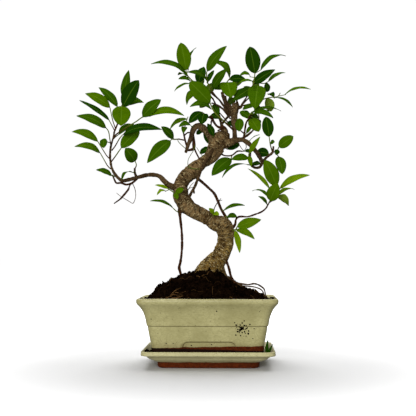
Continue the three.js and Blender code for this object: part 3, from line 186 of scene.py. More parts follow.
# Leafy shoots: the tone of the leaves, the stems and the leaves. A stem is [across, up, depth, radius]
# and starts inside the wood that carries it. A leaf is [across, up] of the place where it leaves the
# stem, [across, up, depth] of its tip, width, turn in degrees from facing the viewer towards facing
# the sky, leaf stalk length, and arch.
SHOOTS = {
    "left_top": ("mid", [
        [[-115, 278.5, -13, 1.1], [-112.5, 284.5, -13, 1], [-110, 291.5, -13, 0.95],
         [-107.5, 302.5, -12, 0.9], [-106, 310.5, -11, 0.8], [-102.5, 316.5, -9, 0.65]],
        [[-113.5, 282, -13, 0.7], [-117, 292, -15, 0.6], [-119.5, 303, -17, 0.6], [-120.5, 308, -18, 0.55]],
        [[-114.5, 279.5, -13, 0.7], [-118, 286, -13, 0.6], [-121.5, 292.5, -12, 0.55]],
    ], [
        [[-102.5, 316.5], [-98, 354, -3], 12.5, 20, 0, 0.06],
        [[-106.5, 305], [-85.5, 341.5, -28], 19.5, 12, 5, 0.05],
        [[-106.5, 309.5], [-79.5, 313.5, 12], 14, 35, 5, 0.2],
        [[-107.5, 304], [-134.5, 333, -2], 12, 34, 7, 0.1],
        [[-120.5, 308], [-151, 325.5, -22], 13, 24, 0, 0.16],
        [[-121.5, 292.5], [-158, 317, -6], 11, 56, 0, 0.05],
        [[-106.5, 309.5], [-107, 285.5, -24], 22, 8, 0, 0.1],
    ]),
    "left_leaf_upper": lone_leaf("mid", [
        [-119, 260.5, -13, 0.75], [-120.5, 270, -11, 0.65], [-122, 278.5, -14, 0.65], [-125, 283, -17, 0.6],
    ], [-161.5, 298, -26], 13, 32, 0.16),
    "left_leaf_middle": lone_leaf("mid", [
        [-120.5, 245.5, -13, 0.75], [-124, 249, -13, 0.65], [-129.5, 257.5, -14, 0.6],
        [-135, 266.5, -15, 0.6],
    ], [-167, 278.5, -10], 12, 36, 0.18),
    "left_leaf_lower": lone_leaf("mid", [
        [-119, 233, -14, 0.75], [-123, 237, -16, 0.65], [-128, 245.5, -19, 0.6], [-132, 252.5, -21, 0.6],
    ], [-163.5, 260.5, -34], 12, 43, 0.19),
    "left_leaf_small": lone_leaf("mid", [
        [-118, 264.5, -13, 0.7], [-124.5, 266.5, -19, 0.55], [-127.5, 270, -21, 0.5],
    ], [-128, 258.5, -29], 9, 0, 0.1),
    "left_leaf_low": lone_leaf("mid", [
        [-112.5, 224.5, -16, 0.8], [-116, 224, -22, 0.65], [-117.5, 225, -25, 0.6],
    ], [-137, 232, -36], 9, 45, 0.12),
    "left_side_shoot": ("mid", [
        [[-116, 272, -13, 1], [-111, 276.5, -16, 0.9], [-98, 285, -21, 0.8], [-89, 290.5, -24, 0.75],
         [-82, 295.5, -26, 0.7], [-77.5, 297, -27, 0.6]],
    ], [
        [[-82, 296], [-58.5, 317.5, -38], 15, 12, 2, 0.1],
        [[-77.5, 297], [-30, 297.5, -36], 13, 40, 5, 0.2],
    ]),
    "left_side_leaf": lone_leaf("dark", [
        [-118, 255.5, -13, 0.85], [-113.5, 261.5, -16, 0.75], [-109, 269.5, -21, 0.7],
        [-105, 274.5, -24, 0.65],
    ], [-57, 280.5, -36], 16, 45, 0.14),
    "left_side_back_leaf": lone_leaf("mid", [
        [-116, 270, -13, 0.8], [-112.5, 273, -9, 0.65], [-109.5, 275, -6, 0.6],
    ], [-91, 287.5, 4], 11, 38, 0.14),
    "left_side_low_leaf": lone_leaf("mid", [
        [-119, 241, -14, 0.85], [-113.5, 248.5, -18, 0.75], [-109, 255, -21, 0.7],
        [-106.5, 258.5, -22, 0.6],
    ], [-84.5, 279.5, -16], 16, 15, 0.1),
    "left_stub_leaf": lone_leaf("mid", [
        [-90, 233, -20, 0.9], [-88, 237.5, -21, 0.65], [-89.5, 242.5, -22, 0.6],
    ], [-101.5, 258.5, -40], 15, 8, 0.1),
    "left_drooping_leaf": lone_leaf("mid", [
        [-90, 228, -19, 0.8], [-91, 229, -24, 0.65], [-92, 228.5, -27, 0.6],
    ], [-105.5, 219.5, -36], 9, 66, 0.28),
    "crown_left": ("bright", [
        [[6, 322, 4, 0.95], [-3, 329.5, 4, 0.9], [-13.5, 335.5, 2, 0.85], [-21, 341, 0, 0.8],
         [-26, 346.5, -2, 0.75], [-28, 352, -3, 0.7]],
    ], [
        [[-28, 352], [-34.5, 387.5, -8], 17.5, 10, 1, 0.05],
        [[-27, 349], [-15.5, 381, 16], 13, 58, 6, 0.14],
        [[-24.5, 344.5], [-71, 361.5, -18], 13, 50, 1, 0.2],
        [[-13.5, 335.5], [-6.5, 357.5, 24], 13, 15, 3, 0.06],
        [[-26, 346.5], [-38, 347.5, 24], 8, 72, 5, 0.1],
        [[-20, 340], [-37.5, 342.5, -14], 8, 40, 4, 0.16],
        [[-15, 336.5], [-42.5, 327.5, -10], 9, 62, 3, 0.15],
        [[-8, 332], [-27, 310.5, 18], 12, 40, 5, 0.25],
    ]),
    "crown_middle": ("bright", [
        [[30.5, 279, 3, 1.3], [18.5, 290, -8, 1.1], [8, 300, -15, 1], [3.5, 307.5, -18, 0.9],
         [1, 313.5, -19, 0.7]],
    ], [
        [[1, 313.5], [-24, 339, -28], 20, 6, 0, 0.06],
        [[4, 305], [-23.5, 308.5, -24], 12, 44, 2, 0.26],
        [[12, 297], [4.5, 310.5, 10], 9, 20, 4, 0.1],
        [[15, 293], [0.5, 297, 14], 12, 26, 6, 0.1],
        [[21, 287.5], [29.5, 285.5, 14], 9, 20, 3, 0.1],
    ]),
    "crown_middle_low": ("dark", [
        [[-0.5, 295.3, -4, 1], [-4, 298.5, -10, 0.75], [-9, 302, -14, 0.65]],
    ], [
        [[-9, 302], [-24.5, 288.5, -20], 11, 15, 0, 0.12],
        [[-6, 300], [-9, 287, -26], 13, 6, 0, 0.12],
    ]),
    "crown_inner_leaf": lone_leaf("dark", [
        [3, 269.5, -1, 0.9], [5.5, 273, -8, 0.65],
    ], [-2, 288, -11], 8, 15, 0.08),
    "crown_inner_leaf_back": ("dark", [
        [[-4.5, 279, -3, 0.8], [-6, 279.5, 5, 0.65]],
    ], [
        [[-6, 279.5], [-15.5, 276, 15], 8, 20, 0, 0.1],
        [[-6, 279.5], [-1.5, 263.5, 14], 7, 15, 0, 0.1],
    ]),
    "trunk_top_leaf_left": lone_leaf("dark", [
        [5, 260.5, 4, 0.8], [2, 257.5, 14, 0.65],
    ], [-11.5, 251.5, 20], 9, 30, 0.12),
    "trunk_top_leaf_right": lone_leaf("dark", [
        [15, 260.5, 5, 0.8], [22, 256.5, 15, 0.65],
    ], [36.5, 263.5, 20], 11, 20, 0.1),
    "tangle_leaves": ("mid", [
        [[-31, 275.5, -12, 0.8], [-29, 285.5, -13, 0.65], [-27, 292.5, -14, 0.6], [-25.5, 296.5, -15, 0.5]],
    ], [
        [[-27, 293.5], [-47.5, 280.5, -8], 9, 48, 0, 0.18],
        [[-29.5, 284.5], [-31.5, 276, -30], 7, 0, 2, 0.12],
    ]),
    "tangle_leaf_side": lone_leaf("mid", [
        [-17.5, 284, -6, 0.8], [-21.5, 284.5, -15, 0.65],
    ], [-37, 284, -26], 9, 42, 0.26),
    "middle_left": ("mid", [
        [[-29, 267.5, -11, 0.9], [-37, 269, -13, 0.8], [-44, 269, -16, 0.75], [-51, 273, -18, 0.6]],
    ], [
        [[-42, 269.5], [-58, 284.5, -26], 10, 18, 2, 0.1],
        [[-45, 269.5], [-75, 240, -28], 16, 10, 3, 0.14],
    ]),
    "crown_top": ("bright", [
        [[10.5, 318, 5, 1], [3.5, 327.5, 8, 0.9], [-1.5, 337, 8, 0.85], [-3, 344, 7, 0.75],
         [-3, 351, 6, 0.65]],
    ], [
        [[-3, 351], [21.5, 383, -6], 14, 20, 1, 0.12],
        [[-1.5, 338], [6, 353, 22], 7, 28, 2, 0.08],
        [[2.5, 330], [22.5, 355.5, -24], 12, 16, 4, 0.06],
        [[-1.5, 337], [-27, 351, -18], 11, 42, 1, 0.2],
    ]),
    "crown_centre": ("bright", [
        [[15.5, 324.5, 10, 1], [18, 331, 11, 0.9], [21.5, 338, 10, 0.8], [25.5, 343.5, 8, 0.65]],
    ], [
        [[25.5, 343.5], [5.5, 364, 0], 13, 45, 1, 0.26],
        [[24, 341], [44.5, 341.5, 22], 13, 30, 1, 0.08],
        [[21.5, 338.5], [26, 319, -16], 21, 5, 1, 0.12],
        [[17, 330], [3.5, 333.5, 22], 10, 20, 2, 0.1],
    ]),
    "crown_right": ("bright", [
        [[46, 321, 3, 0.95], [50, 328, 3, 0.9], [53.5, 336, 2, 0.8], [55, 344, 1, 0.7],
         [55.5, 349, 0, 0.65]],
        [[53.5, 336, 2, 0.7], [60.5, 337, 5, 0.6], [66.5, 336.5, 8, 0.6], [71, 338.5, 10, 0.55]],
    ], [
        [[55.5, 348], [49.5, 382, -10], 18.5, 8, 1, 0.05],
        [[55.5, 349], [93, 370, 16], 10, 50, 9, 0.2],
        [[54.5, 337], [80, 353.5, -16], 12, 12, 1, 0.06],
        [[54, 339], [34, 334.5, 1], 8, 58, 1, 0.18],
        [[55, 344], [37, 346.5, -6], 8, 48, 5, 0.3],
        [[51.5, 331.5], [28.5, 315, -12], 13, 18, 1, 0.06],
        [[60, 337], [55, 305, -24], 21.5, 4, 5, 0.14],
        [[71, 338.5], [92.5, 349.5, 22], 8, 50, 1, 0.12],
        [[69, 338], [70.5, 326, 16], 8, 10, 0, 0.1],
    ]),
    "crown_low_leaf": ("mid", [
        [[46, 310, 6, 0.8], [54.5, 310, 6, 0.6]],
    ], [
        [[54.5, 310], [40.5, 304.5, -2], 8, 35, 1, 0.1],
    ]),
    "crown_far_right": ("mid", [
        [[42, 309.8, 4.5, 0.9], [57, 313.5, 12, 0.8], [66.5, 317.5, 12, 0.7], [75, 319.5, 11, 0.65],
         [83, 320.5, 10, 0.6], [86, 325, 10, 0.5]],
    ], [
        [[69, 318.5], [75.5, 302.5, 6], 13, 150, 0, 0.08],
        [[79.5, 320], [72, 322.5, 26], 8, 30, 2, 0.2],
        [[83.5, 321], [123, 329, 0], 9, 61, 8, 0.15],
        [[76.5, 320], [101, 307, 0], 9, 60, 2, 0.14],
    ]),
    "right_twig_leaves": ("mid", [
        [[47.5, 293, -3, 0.8], [48.5, 298, -8, 0.65], [52.5, 302.5, -9, 0.6]],
    ], [
        [[50, 300.5], [87, 302.5, 6], 9, 60, 1, 0.15],
        [[50, 299.5], [77.5, 294, -18], 12, 48, 3, 0.2],
    ]),
    "right_twig_back_leaf": lone_leaf("mid", [
        [47, 292.5, -3, 0.8], [49, 294, 3, 0.65],
    ], [37.5, 302.5, 9], 11, 25, 0.1),
    "right_twig_front_leaf": lone_leaf("bright", [
        [45.5, 290, -3, 0.8], [50.5, 293, -11, 0.65],
    ], [60, 277.5, -22], 14.5, 8, 0.12),
    "upright_leaf": lone_leaf("mid", [
        [30, 292, 4, 0.9], [37.5, 293.5, -4, 0.65],
    ], [36, 278, -10], 10.5, 8, 0.08),
    "right_twig_low_leaf": lone_leaf("mid", [
        [42.5, 273.5, -2, 0.8], [45, 276, -8, 0.55],
    ], [54, 286.5, -15], 5, 25, 0.1),
    "fork_shoot": ("mid", [
        [[76.5, 252.5, -6, 0.9], [74, 260.5, -9, 0.7], [73, 266.5, -10, 0.6], [72.5, 270.5, -10, 0.55]],
    ], [
        [[72.5, 270.5], [68.5, 296, -16], 14, 8, 1, 0.04],
        [[73, 264], [79, 265, -17], 6, 15, 1, 0.1],
    ]),
    "fork_leaves": ("mid", [
        [[76, 252.5, -6, 0.9], [81.5, 254.5, -10, 0.7], [84, 259, -12, 0.6]],
        [[79, 253.5, -8, 0.7], [83.5, 247.5, -10, 0.6]],
    ], [
        [[84, 259], [101.5, 272, -22], 13, 8, 0, 0.08],
        [[82.3, 255.8], [80.5, 249.5, -19], 6.5, 0, 0, 0.05],
        [[83.5, 247.5], [88, 226, -20], 13, 10, 0, 0.1],
    ]),
    "fork_back_leaf": lone_leaf("dark", [
        [70.5, 248, -7, 0.8], [72, 250.5, 2, 0.65],
    ], [56.5, 252.5, 12], 13, 16, 0.1),
    "loop_shoot": ("young", [
        [[49.8, 252.5, -18, 0.9], [48, 251, -24, 0.75], [47.5, 246, -26, 0.6]],
    ], [
        [[48, 251], [61.5, 271.5, -34], 7, 22, 1, 0.06],
        [[47.5, 246], [26.5, 244, -32], 10, 28, 0, 0.12],
        [[47.8, 249], [50.5, 235, -34], 6, 15, 1, 0.1],
    ]),
    "loop_long_leaf": lone_leaf("mid", [
        [51, 237, -15, 0.8], [45.5, 238, -21, 0.6],
    ], [15.5, 222, -34], 9, 62, 0.18),
    "loop_back_leaf": lone_leaf("dark", [
        [62.5, 238, -10, 0.8], [62, 238.5, -1, 0.65],
    ], [50.5, 237.5, 8], 8, 40, 0.1),
    "branch_thin_leaf": lone_leaf("mid", [
        [46.5, 264.5, -4, 0.8], [49.5, 267.5, -10, 0.55],
    ], [61, 274, -13], 6, 78, 0.08),
    "under_leaf": lone_leaf("mid", [
        [27.5, 249.5, 8, 0.8], [26.5, 245, 5, 0.65],
    ], [3, 224.5, -6], 16, 16, 0.14),
    "under_leaf_end": lone_leaf("dark", [
        [38.5, 254, 5, 0.7], [43, 254, 5, 0.55],
    ], [51, 252.5, 8], 7, 45, 0.15),
    "low_right": ("bright", [
        [[68.5, 185.5, -6, 1.05], [71, 190, -7, 0.9], [74, 195.5, -8, 0.8], [78.5, 200, -9, 0.7],
         [82, 206.5, -9, 0.65], [81.5, 210.5, -9, 0.6]],
        [[72.5, 192, -7, 0.7], [77, 195, -3, 0.65], [82, 200.5, -1, 0.6]],
    ], [
        [[81.5, 210.5], [67, 243.5, -20], 17.5, 8, 2, 0.06],
        [[82, 207.5], [121, 225, -18], 11, 42, 3, 0.14],
        [[79.5, 202.5], [46.5, 233, 10], 9, 54, 11, 0.07],
        [[71.5, 191.5], [82.5, 215, -26], 15.5, 8, 3.5, 0.08],
        [[74, 196], [51.5, 206, 6], 7, 62, 3, 0.2],
        [[70.5, 189], [59, 199.5, -20], 7, 50, 1, 0.1],
        [[82, 200.5], [102.5, 207.5, 14], 9, 64, 1, 0.16],
        [[81, 199.5], [95.5, 188.5, -12], 14, 120, 1, 0.2],
    ]),
    "trunk_shoot_right": ("bright", [
        [[24.5, 158, 0, 1.1], [31.5, 159.5, -8, 0.9], [33.5, 163, -10, 0.7]],
    ], [
        [[33.5, 163], [62.5, 171.5, -18], 12.5, 14, 0, 0.06],
        [[32, 160], [54.5, 148, -24], 10, 35, 1, 0.14],
        [[31, 159.3], [36.5, 131.5, -16], 8, 26, 1, 0.06],
    ]),
    "aerial_root_leaf": lone_leaf("mid", [
        [15, 183.5, 8, 0.8], [17.5, 182.5, 4, 0.65],
    ], [43, 188.5, -2], 9, 60, 0.13),
    "bend_leaf": lone_leaf("mid", [
        [19, 176, 8, 0.8], [21, 174.5, 1, 0.65],
    ], [33.5, 174.5, -5], 9, 46, 0.18),
    "bend_shoot": ("young", [
        [[4, 171, -2, 0.9], [5.5, 179, -9, 0.65]],
    ], [
        [[5.5, 179], [-0.5, 185, -14], 5.5, 25, 0, 0.15],
        [[5.5, 179], [12, 177, -18], 6, 25, 0, 0.15],
    ]),
    "trunk_shoot_left": ("young", [
        [[-37, 203, -10, 1], [-41.5, 204, -19, 0.85], [-45, 206, -21, 0.75], [-49.5, 209, -22, 0.6]],
    ], [
        [[-49.5, 209], [-65.5, 213.5, -26], 4.5, 38, 0, 0.08],
        [[-48, 208], [-63, 201, -30], 5.5, 48, 5, 0.3],
        [[-41, 204], [-30.5, 208.5, -25], 7, 14, 1, 0.1],
        [[-41.5, 204], [-38, 196, -27], 6, 10, 1, 0.1],
    ]),
    "trunk_low_leaf": lone_leaf("mid", [
        [-33.5, 182.5, -9, 0.9], [-38, 181, -13, 0.65], [-43.5, 185.5, -14, 0.6],
    ], [-71.5, 194, -22], 8, 63, 0.14),
    "back_left": ("mid", [
        [[4.5, 318, 40, 1], [-2, 326.5, 43, 0.9], [-7, 333.5, 45, 0.75]],
    ], [
        [[-7, 333.5], [-16, 349.5, 50], 11, 150, 2, 0.1],
        [[-5, 330.5], [-22.5, 325, 60], 13, 160, 3, 0.18],
        [[-2, 326.5], [6.5, 338, 62], 11, 165, 4, 0.12],
        [[0.5, 323], [-11.5, 307, 62], 13, 170, 4, 0.18],
    ]),
    "back_middle": ("mid", [
        [[36.5, 307.5, 40, 1], [33, 317, 46, 0.9], [28, 326.5, 49, 0.8], [27, 335, 50, 0.7]],
    ], [
        [[27, 335], [41, 341.5, 58], 10, 160, 2, 0.1],
        [[28, 327.5], [12.5, 337, 64], 13, 165, 3, 0.15],
        [[31.5, 319], [41, 331, 68], 11, 160, 4, 0.18],
        [[31, 320.5], [22, 310, 66], 10, 170, 4, 0.18],
    ]),
    "back_right": ("mid", [
        [[45.5, 316.5, 43, 0.9], [52, 323, 46, 0.8], [57, 329, 47, 0.7]],
    ], [
        [[57, 329], [58.5, 346, 56], 10, 155, 2, 0.1],
        [[55.5, 326.5], [59, 312, 66], 13, 170, 3, 0.18],
        [[51.5, 322], [42, 333, 60], 12, 160, 4, 0.15],
    ]),
    "back_low": ("dark", [
        [[58.5, 286, 38, 1], [60, 293, 42, 0.8], [60, 298, 44, 0.65]],
    ], [
        [[60, 298], [56, 311, 46], 10, 150, 2, 0.1],
        [[60.3, 294], [55.5, 281, 58], 10, 170, 2, 0.18],
        [[59.5, 290.5], [46, 299, 58], 12, 165, 3, 0.15],
    ]),
}

# How far each tone of leaf is from the darkest, 0, to the youngest, 1. The dark tone is painted shade,
# given to leaves that stand in shadow.
TONES = {"young": 1.0, "bright": 0.66, "mid": 0.36, "dark": 0.08}

# Leaves made paler or darker than their shoot: by shoot, the number of the leaf and the change. Partly
# each leaf's own tone, and partly painted shade on leaves that stand in shadow and painted light on
# undersides that face away from the lamps.
LEAF_TONE_AND_SHADING = {
    "left_top": {1: -0.2, 4: 0.3, 5: -0.3, 6: 0.35},
    "left_leaf_upper": {0: 0.1},
    "left_leaf_middle": {0: 0.2},
    "left_leaf_lower": {0: 0.15},
    "left_side_shoot": {1: 0.35},
    "left_side_low_leaf": {0: 0.15},
    "left_drooping_leaf": {0: -0.12},
    "crown_left": {0: -0.05, 1: -0.3, 2: -0.28, 3: -0.6, 4: -0.4, 5: -0.4, 6: -0.15},
    "crown_middle": {0: -0.18, 1: -0.3, 2: -0.5, 3: -0.5, 4: -0.5},
    "crown_top": {0: -0.2, 1: -0.5, 2: -0.3, 3: -0.35},
    "crown_centre": {0: -0.2, 1: -0.62, 2: -0.15, 3: -0.4},
    "crown_right": {0: -0.5, 1: -0.34, 2: -0.5, 3: -0.1, 4: -0.25, 5: -0.42, 6: -0.12, 7: -0.2, 8: -0.5},
    "crown_far_right": {0: 0.6, 1: -0.2, 2: 0.2},
    "fork_leaves": {0: 0.1, 1: -0.3},
    "fork_shoot": {0: -0.15},
    "loop_shoot": {0: -0.25, 1: -0.5, 2: -0.25},
    "low_right": {0: -0.1, 1: 0.15, 2: 0.15, 3: 0.1, 4: -0.1, 5: -0.2, 6: 0.2, 7: 0.55},
    "trunk_shoot_left": {2: -0.25, 3: -0.25},
    "middle_left": {0: -0.12},
    "tangle_leaves": {0: 0.2},
    "trunk_shoot_right": {0: 0.06, 1: 0.06, 2: 0.2},
}

# Fine twigs, tendrils and loose roots that are too thin for the solids: [across, up, depth, radius].
FINE_STRANDS = {
    "wiry_root": [
        [-92.6, 215.4, -14, 0.5], [-89.6, 208.8, -15, 0.45], [-88.6, 201.6, -16, 0.4],
        [-89.6, 195.6, -17, 0.4], [-92, 191.4, -17, 0.4], [-96.8, 193.8, -16, 0.4],
        [-102.8, 197.4, -14, 0.4], [-107.6, 200.4, -13, 0.35], [-111.8, 204, -12, 0.3],
    ],
    "crown_twig_fine": [[3, 326, 3, 0.6], [12.4, 316.8, 4, 0.8], [18.4, 307.2, 4, 0.9], [25, 296, 5, 1]],
    "crown_twig_low_fine": [[5.2, 312, 0, 1.1], [13.6, 308.4, 2, 1], [20.8, 300, 4, 1.1], [26, 293, 5, 1]],
    "crown_twig_inner_fine": [[12.4, 301.2, 2, 0.7], [19.6, 292.8, 3, 0.8], [26, 285, 4, 0.9]],
    "snag_hair": [[-1.5, 295.5, -4, 0.8], [4, 296.4, -5, 0.7], [1.6, 289.2, -6, 0.5]],
    "trunk_tendril": [
        [-10, 232.8, -8, 0.5], [-16.4, 232.8, -11, 0.5], [-22.4, 234, -12, 0.5], [-25.4, 236.4, -12, 0.45],
        [-25.4, 243.6, -12, 0.4], [-22.4, 249.6, -11, 0.4], [-18.8, 255.6, -8, 0.4], [-17.6, 262, -5, 0.35],
    ],
    "trunk_bend_twig": [
        [5.4, 182, 1, 0.7], [6.6, 186, 0, 0.6], [9.4, 191, -1, 0.55], [14.2, 197, -2, 0.45],
    ],
    "trunk_bend_twig_end": [[11, 193.6, -1, 0.4], [15.8, 195, -2, 0.35]],
    "trunk_tendril_low": [[-7, 246.5, -2, 0.45], [-11.6, 253.2, -5, 0.35], [-15.2, 259, -5, 0.35]],
    "middle_tendril": [
        [-36, 270, -13, 0.5], [-38, 268, -13, 0.45], [-35.6, 264, -12, 0.45], [-28.5, 257.5, -10, 0.5],
    ],
    "branch_hair": [[35, 264.5, -1, 0.5], [38.8, 258, -3, 0.45], [42.4, 254, -4, 0.35]],
    "branch_hair_right": [[43.6, 264.5, -3, 0.5], [44.8, 259.2, -4, 0.45], [42.4, 254.6, -5, 0.35]],
    "root_hair": [[-26, 206, -10, 0.5], [-22.4, 212.4, -13, 0.4], [-18.5, 216.4, -12, 0.35]],
    "root_hair_low": [[-28, 207, -9, 0.5], [-22.4, 210, -14, 0.4], [-18, 211, -12, 0.35]],
    "soil_hoop": [
        [48, 86, -18, 0.6], [52.6, 88.8, -20, 0.5], [56.8, 86.6, -22, 0.5], [61.5, 81.5, -24, 0.5],
    ],
}

# Strands whose bark is nearly black: roots that hang in the air and the dead snag.
DARK_STRANDS = {
    "aerial_root_left", "aerial_root_right", "basal_root", "dark_root", "dead_twig", "dead_spur",
    "dead_prong", "knot_twig", "tangle_twig", "tangle_cross", "hanging_root", "loop_left", "under_twig",
    "twig_right", "branch_low", "snag_hair",
}
GREEN_STRANDS = {"trunk_tendril", "trunk_tendril_low", "middle_tendril"}


# ---------------------------------------------------------------- shader building


class Value:
    """The output of a shader node. Sums, products and powers of it add Math nodes."""

    def __init__(self, finish, socket):
        self.finish = finish
        self.socket = socket

    def maths(self, operation, *operands):
        return self.finish.node("ShaderNodeMath", {"operation": operation}, dict(enumerate(operands)))

    def __add__(self, other):
        return self.maths("ADD", self, other)

    def __radd__(self, other):
        return self.maths("ADD", other, self)

    def __sub__(self, other):
        return self.maths("SUBTRACT", self, other)

    def __rsub__(self, other):
        return self.maths("SUBTRACT", other, self)

    def __mul__(self, other):
        return self.maths("MULTIPLY", self, other)

    def __pow__(self, other):
        return self.maths("POWER", self, other)

    def size(self):
        return self.maths("ABSOLUTE", self)

    def above(self, least):
        return self.maths("MAXIMUM", self, least)

    def fraction(self):
        return self.maths("FRACT", self)

    def rise(self, low, high):
        """0 below low and 1 above high, with a soft rise between. A high under low makes it fall."""
        settings = {"interpolation_type": "SMOOTHSTEP"}
        sockets = {"Value": self, "From Min": low, "From Max": high}
        return self.finish.node("ShaderNodeMapRange", settings, sockets)


class Finish:
    """A material in the making: its Principled shader, and one way to add any other node."""

    def __init__(self, name, **constants):
        self.material = bpy.data.materials.new(name)
        self.material.use_nodes = True
        self.nodes = self.material.node_tree.nodes
        self.links = self.material.node_tree.links
        self.surface = self.nodes["Principled BSDF"]
        for socket, value in constants.items():
            self.surface.inputs[socket.replace("_", " ")].default_value = value

    def plug(self, socket, value):
        if isinstance(value, Value):
            self.links.new(value.socket, socket)
        else:
            socket.default_value = value

    def node(self, kind, settings, sockets, output=0):
        made = self.nodes.new(kind)
        for setting, value in settings.items():
            setattr(made, setting, value)
        for socket, value in sockets.items():
            self.plug(made.inputs[socket], value)
        return Value(self, made.outputs[output])

    def set(self, socket, value):
        self.plug(self.surface.inputs[socket], value)

    def place(self):
        return self.node("ShaderNodeTexCoord", {}, {}, "Object")

    def attribute(self, name, output="Fac"):
        return self.node("ShaderNodeAttribute", {"attribute_name": name}, {}, output)

    def parts(self, vector):
        """The three numbers of a vector."""
        first = self.node("ShaderNodeSeparateXYZ", {}, {0: vector})
        outputs = first.socket.node.outputs
        return [Value(self, outputs[i]) for i in range(3)]

    def stretched(self, vector, scale):
        return self.node("ShaderNodeVectorMath", {"operation": "MULTIPLY"}, {0: vector, 1: scale})

    def noise(self, vector, scale, detail=3.0, roughness=0.55, distortion=0.0):
        sockets = {
            "Vector": vector, "Scale": scale, "Detail": detail, "Roughness": roughness,
            "Distortion": distortion,
        }
        return self.node("ShaderNodeTexNoise", {}, sockets)

    def cells(self, vector, scale, feature="F1", output="Distance"):
        sockets = {"Vector": vector, "Scale": scale}
        return self.node("ShaderNodeTexVoronoi", {"feature": feature}, sockets, output)

    def mix(self, factor, first, second, blend="MIX"):
        settings = {"data_type": "RGBA", "blend_type": blend}
        return self.node("ShaderNodeMix", settings, {0: factor, 6: first, 7: second}, 2)

    def bump(self, height, distance, strength=1.0):
        sockets = {"Height": height, "Distance": distance, "Strength": strength}
        self.set("Normal", self.node("ShaderNodeBump", {}, sockets))


def paint(red, green, blue):
    """A linear colour from the 0 to 255 values that a screen shows."""
    def linear(value):
        share = value / 255
        return share / 12.92 if share <= 0.04045 else ((share + 0.055) / 1.055) ** 2.4
    return (linear(red), linear(green), linear(blue), 1.0)


# ---------------------------------------------------------------- finishes


def crackled_cream(finish, place, pale):
    """Cream glaze, clouded, crackled and pitted, with the patterns that its relief is made of."""
    cloud = finish.noise(place, 28, 5, 0.6)
    fine = finish.noise(finish.stretched(place, (1, 1, 2.2)), 330, 4, 0.65)
    cream = finish.mix(cloud.rise(0.3, 0.7), paint(158, 152, 104), paint(182, 176, 126))
    cream = finish.mix(fine.rise(0.35, 0.75) * 0.5, cream, paint(138, 130, 82))
    cream = finish.mix(pale, cream, paint(226, 220, 176))
    crackle = finish.cells(place, 120, "DISTANCE_TO_EDGE").rise(0.035, 0.0)
    cream = finish.mix(crackle * cloud.rise(0.35, 0.6) * 0.3, cream, paint(104, 96, 56))
    pit_luck = finish.parts(finish.cells(place, 420, "F1", "Color"))[0]
    pits = finish.cells(place, 420).rise(0.22, 0.12) * pit_luck.rise(0.86, 0.9)
    cream = finish.mix(pits * 0.75, cream, paint(66, 48, 22))
    return cream, cloud, fine, crackle, pits


# Dirt on the glaze, in millimetres: how far it takes to thicken and how high grime stands over the
# glaze's lower edge. Then how far from the middle of a line of painted shade, along the pot's groove
# and under the saucer's rim, the line ends and is darkest.
SMUDGE_FADE = 14
GRIME_HEIGHT = 7
SHADE_LINE_EDGE = 0.7
SHADE_LINE_CORE = 0.2
DIRT = paint(98, 82, 42)
# The colour of the lines of painted shade.
SHADE_LINE_COLOUR = paint(70, 54, 24)


def glaze_dirt_and_shade_line(finish, cream, place, cloud, wander, edge, worn, shade_line_height):
    """Smudges and grime towards the lower edge of the glaze, and a line of painted shade at a given height.
    """
    height = finish.parts(place)[2]
    low = (height + wander * 2).rise(worn * MM, (worn - SMUDGE_FADE) * MM)
    smudge = finish.noise(place, 90, 5, 0.7).rise(0.52, 0.7) * low
    cream = finish.mix(smudge * 0.4, cream, DIRT)
    grime = (height + wander * 3).rise((edge + GRIME_HEIGHT) * MM, edge * MM)
    cream = finish.mix(grime * cloud.rise(0.25, 0.6) * 0.4, cream, DIRT)
    # A line of painted shade at the given height: along the pot's groove, under the saucer's rim.
    line = (height - shade_line_height * MM).size().rise(SHADE_LINE_EDGE * MM, SHADE_LINE_CORE * MM)
    return finish.mix(line * 0.55, cream, SHADE_LINE_COLOUR)


def bare_clay(finish, place):
    """Bare terracotta, and its grain."""
    grain = finish.noise(place, 480, 4, 0.7)
    clay = finish.mix(grain.rise(0.3, 0.75), paint(58, 20, 3), paint(96, 39, 9))
    return finish.mix(finish.noise(place, 55, 3).rise(0.45, 0.75) * 0.6, clay, paint(50, 17, 2)), grain


# The pot's bare foot is painted black with shade below this height, in millimetres, where it stands
# down in the saucer. The line falls towards the right, and the painted shade fades out over the last
# stretch below it.
FOOT_SHADE_HEIGHT = 22
FOOT_SHADE_SLOPE = 0.028
FOOT_SHADE_FADE = 0.9

# The shallow panel in the foot of the pot's front and back, in millimetres.
PANEL_LEFT = -29
PANEL_RIGHT = 31
PANEL_MIDDLE = (PANEL_LEFT + PANEL_RIGHT) / 2
PANEL_TOP = 30
PANEL_CORNER = 6
PANEL_STRAIGHT = (PANEL_RIGHT - PANEL_LEFT) / 2 - PANEL_CORNER
PANEL_DEPTH = 1.5
PANEL_EDGE = 1.1
# How far from the panel's edge the painted shade round it ends and where it is darkest.
PANEL_SHADE_EDGE = 0.9
PANEL_SHADE_CORE = 0.2


def panel_edge_shade(finish, place):
    """Painted shade round the panel's sunken edge, broken here and there."""
    x, _, z = finish.parts(place)
    outside_x = ((x - PANEL_MIDDLE * MM).size() - PANEL_STRAIGHT * MM).above(0)
    outside_z = (z - (PANEL_TOP - PANEL_CORNER) * MM).above(0)
    depth = (outside_x ** 2 + outside_z ** 2) ** 0.5 - PANEL_CORNER * MM
    line = depth.size().rise(PANEL_SHADE_EDGE * MM, PANEL_SHADE_CORE * MM)
    return line * (finish.noise(place, 60, 2).rise(0.2, 0.5) * 0.6 + 0.4)


# Half the width over which the glaze ends, in millimetres.
GLAZE_EDGE_BLUR = 0.25


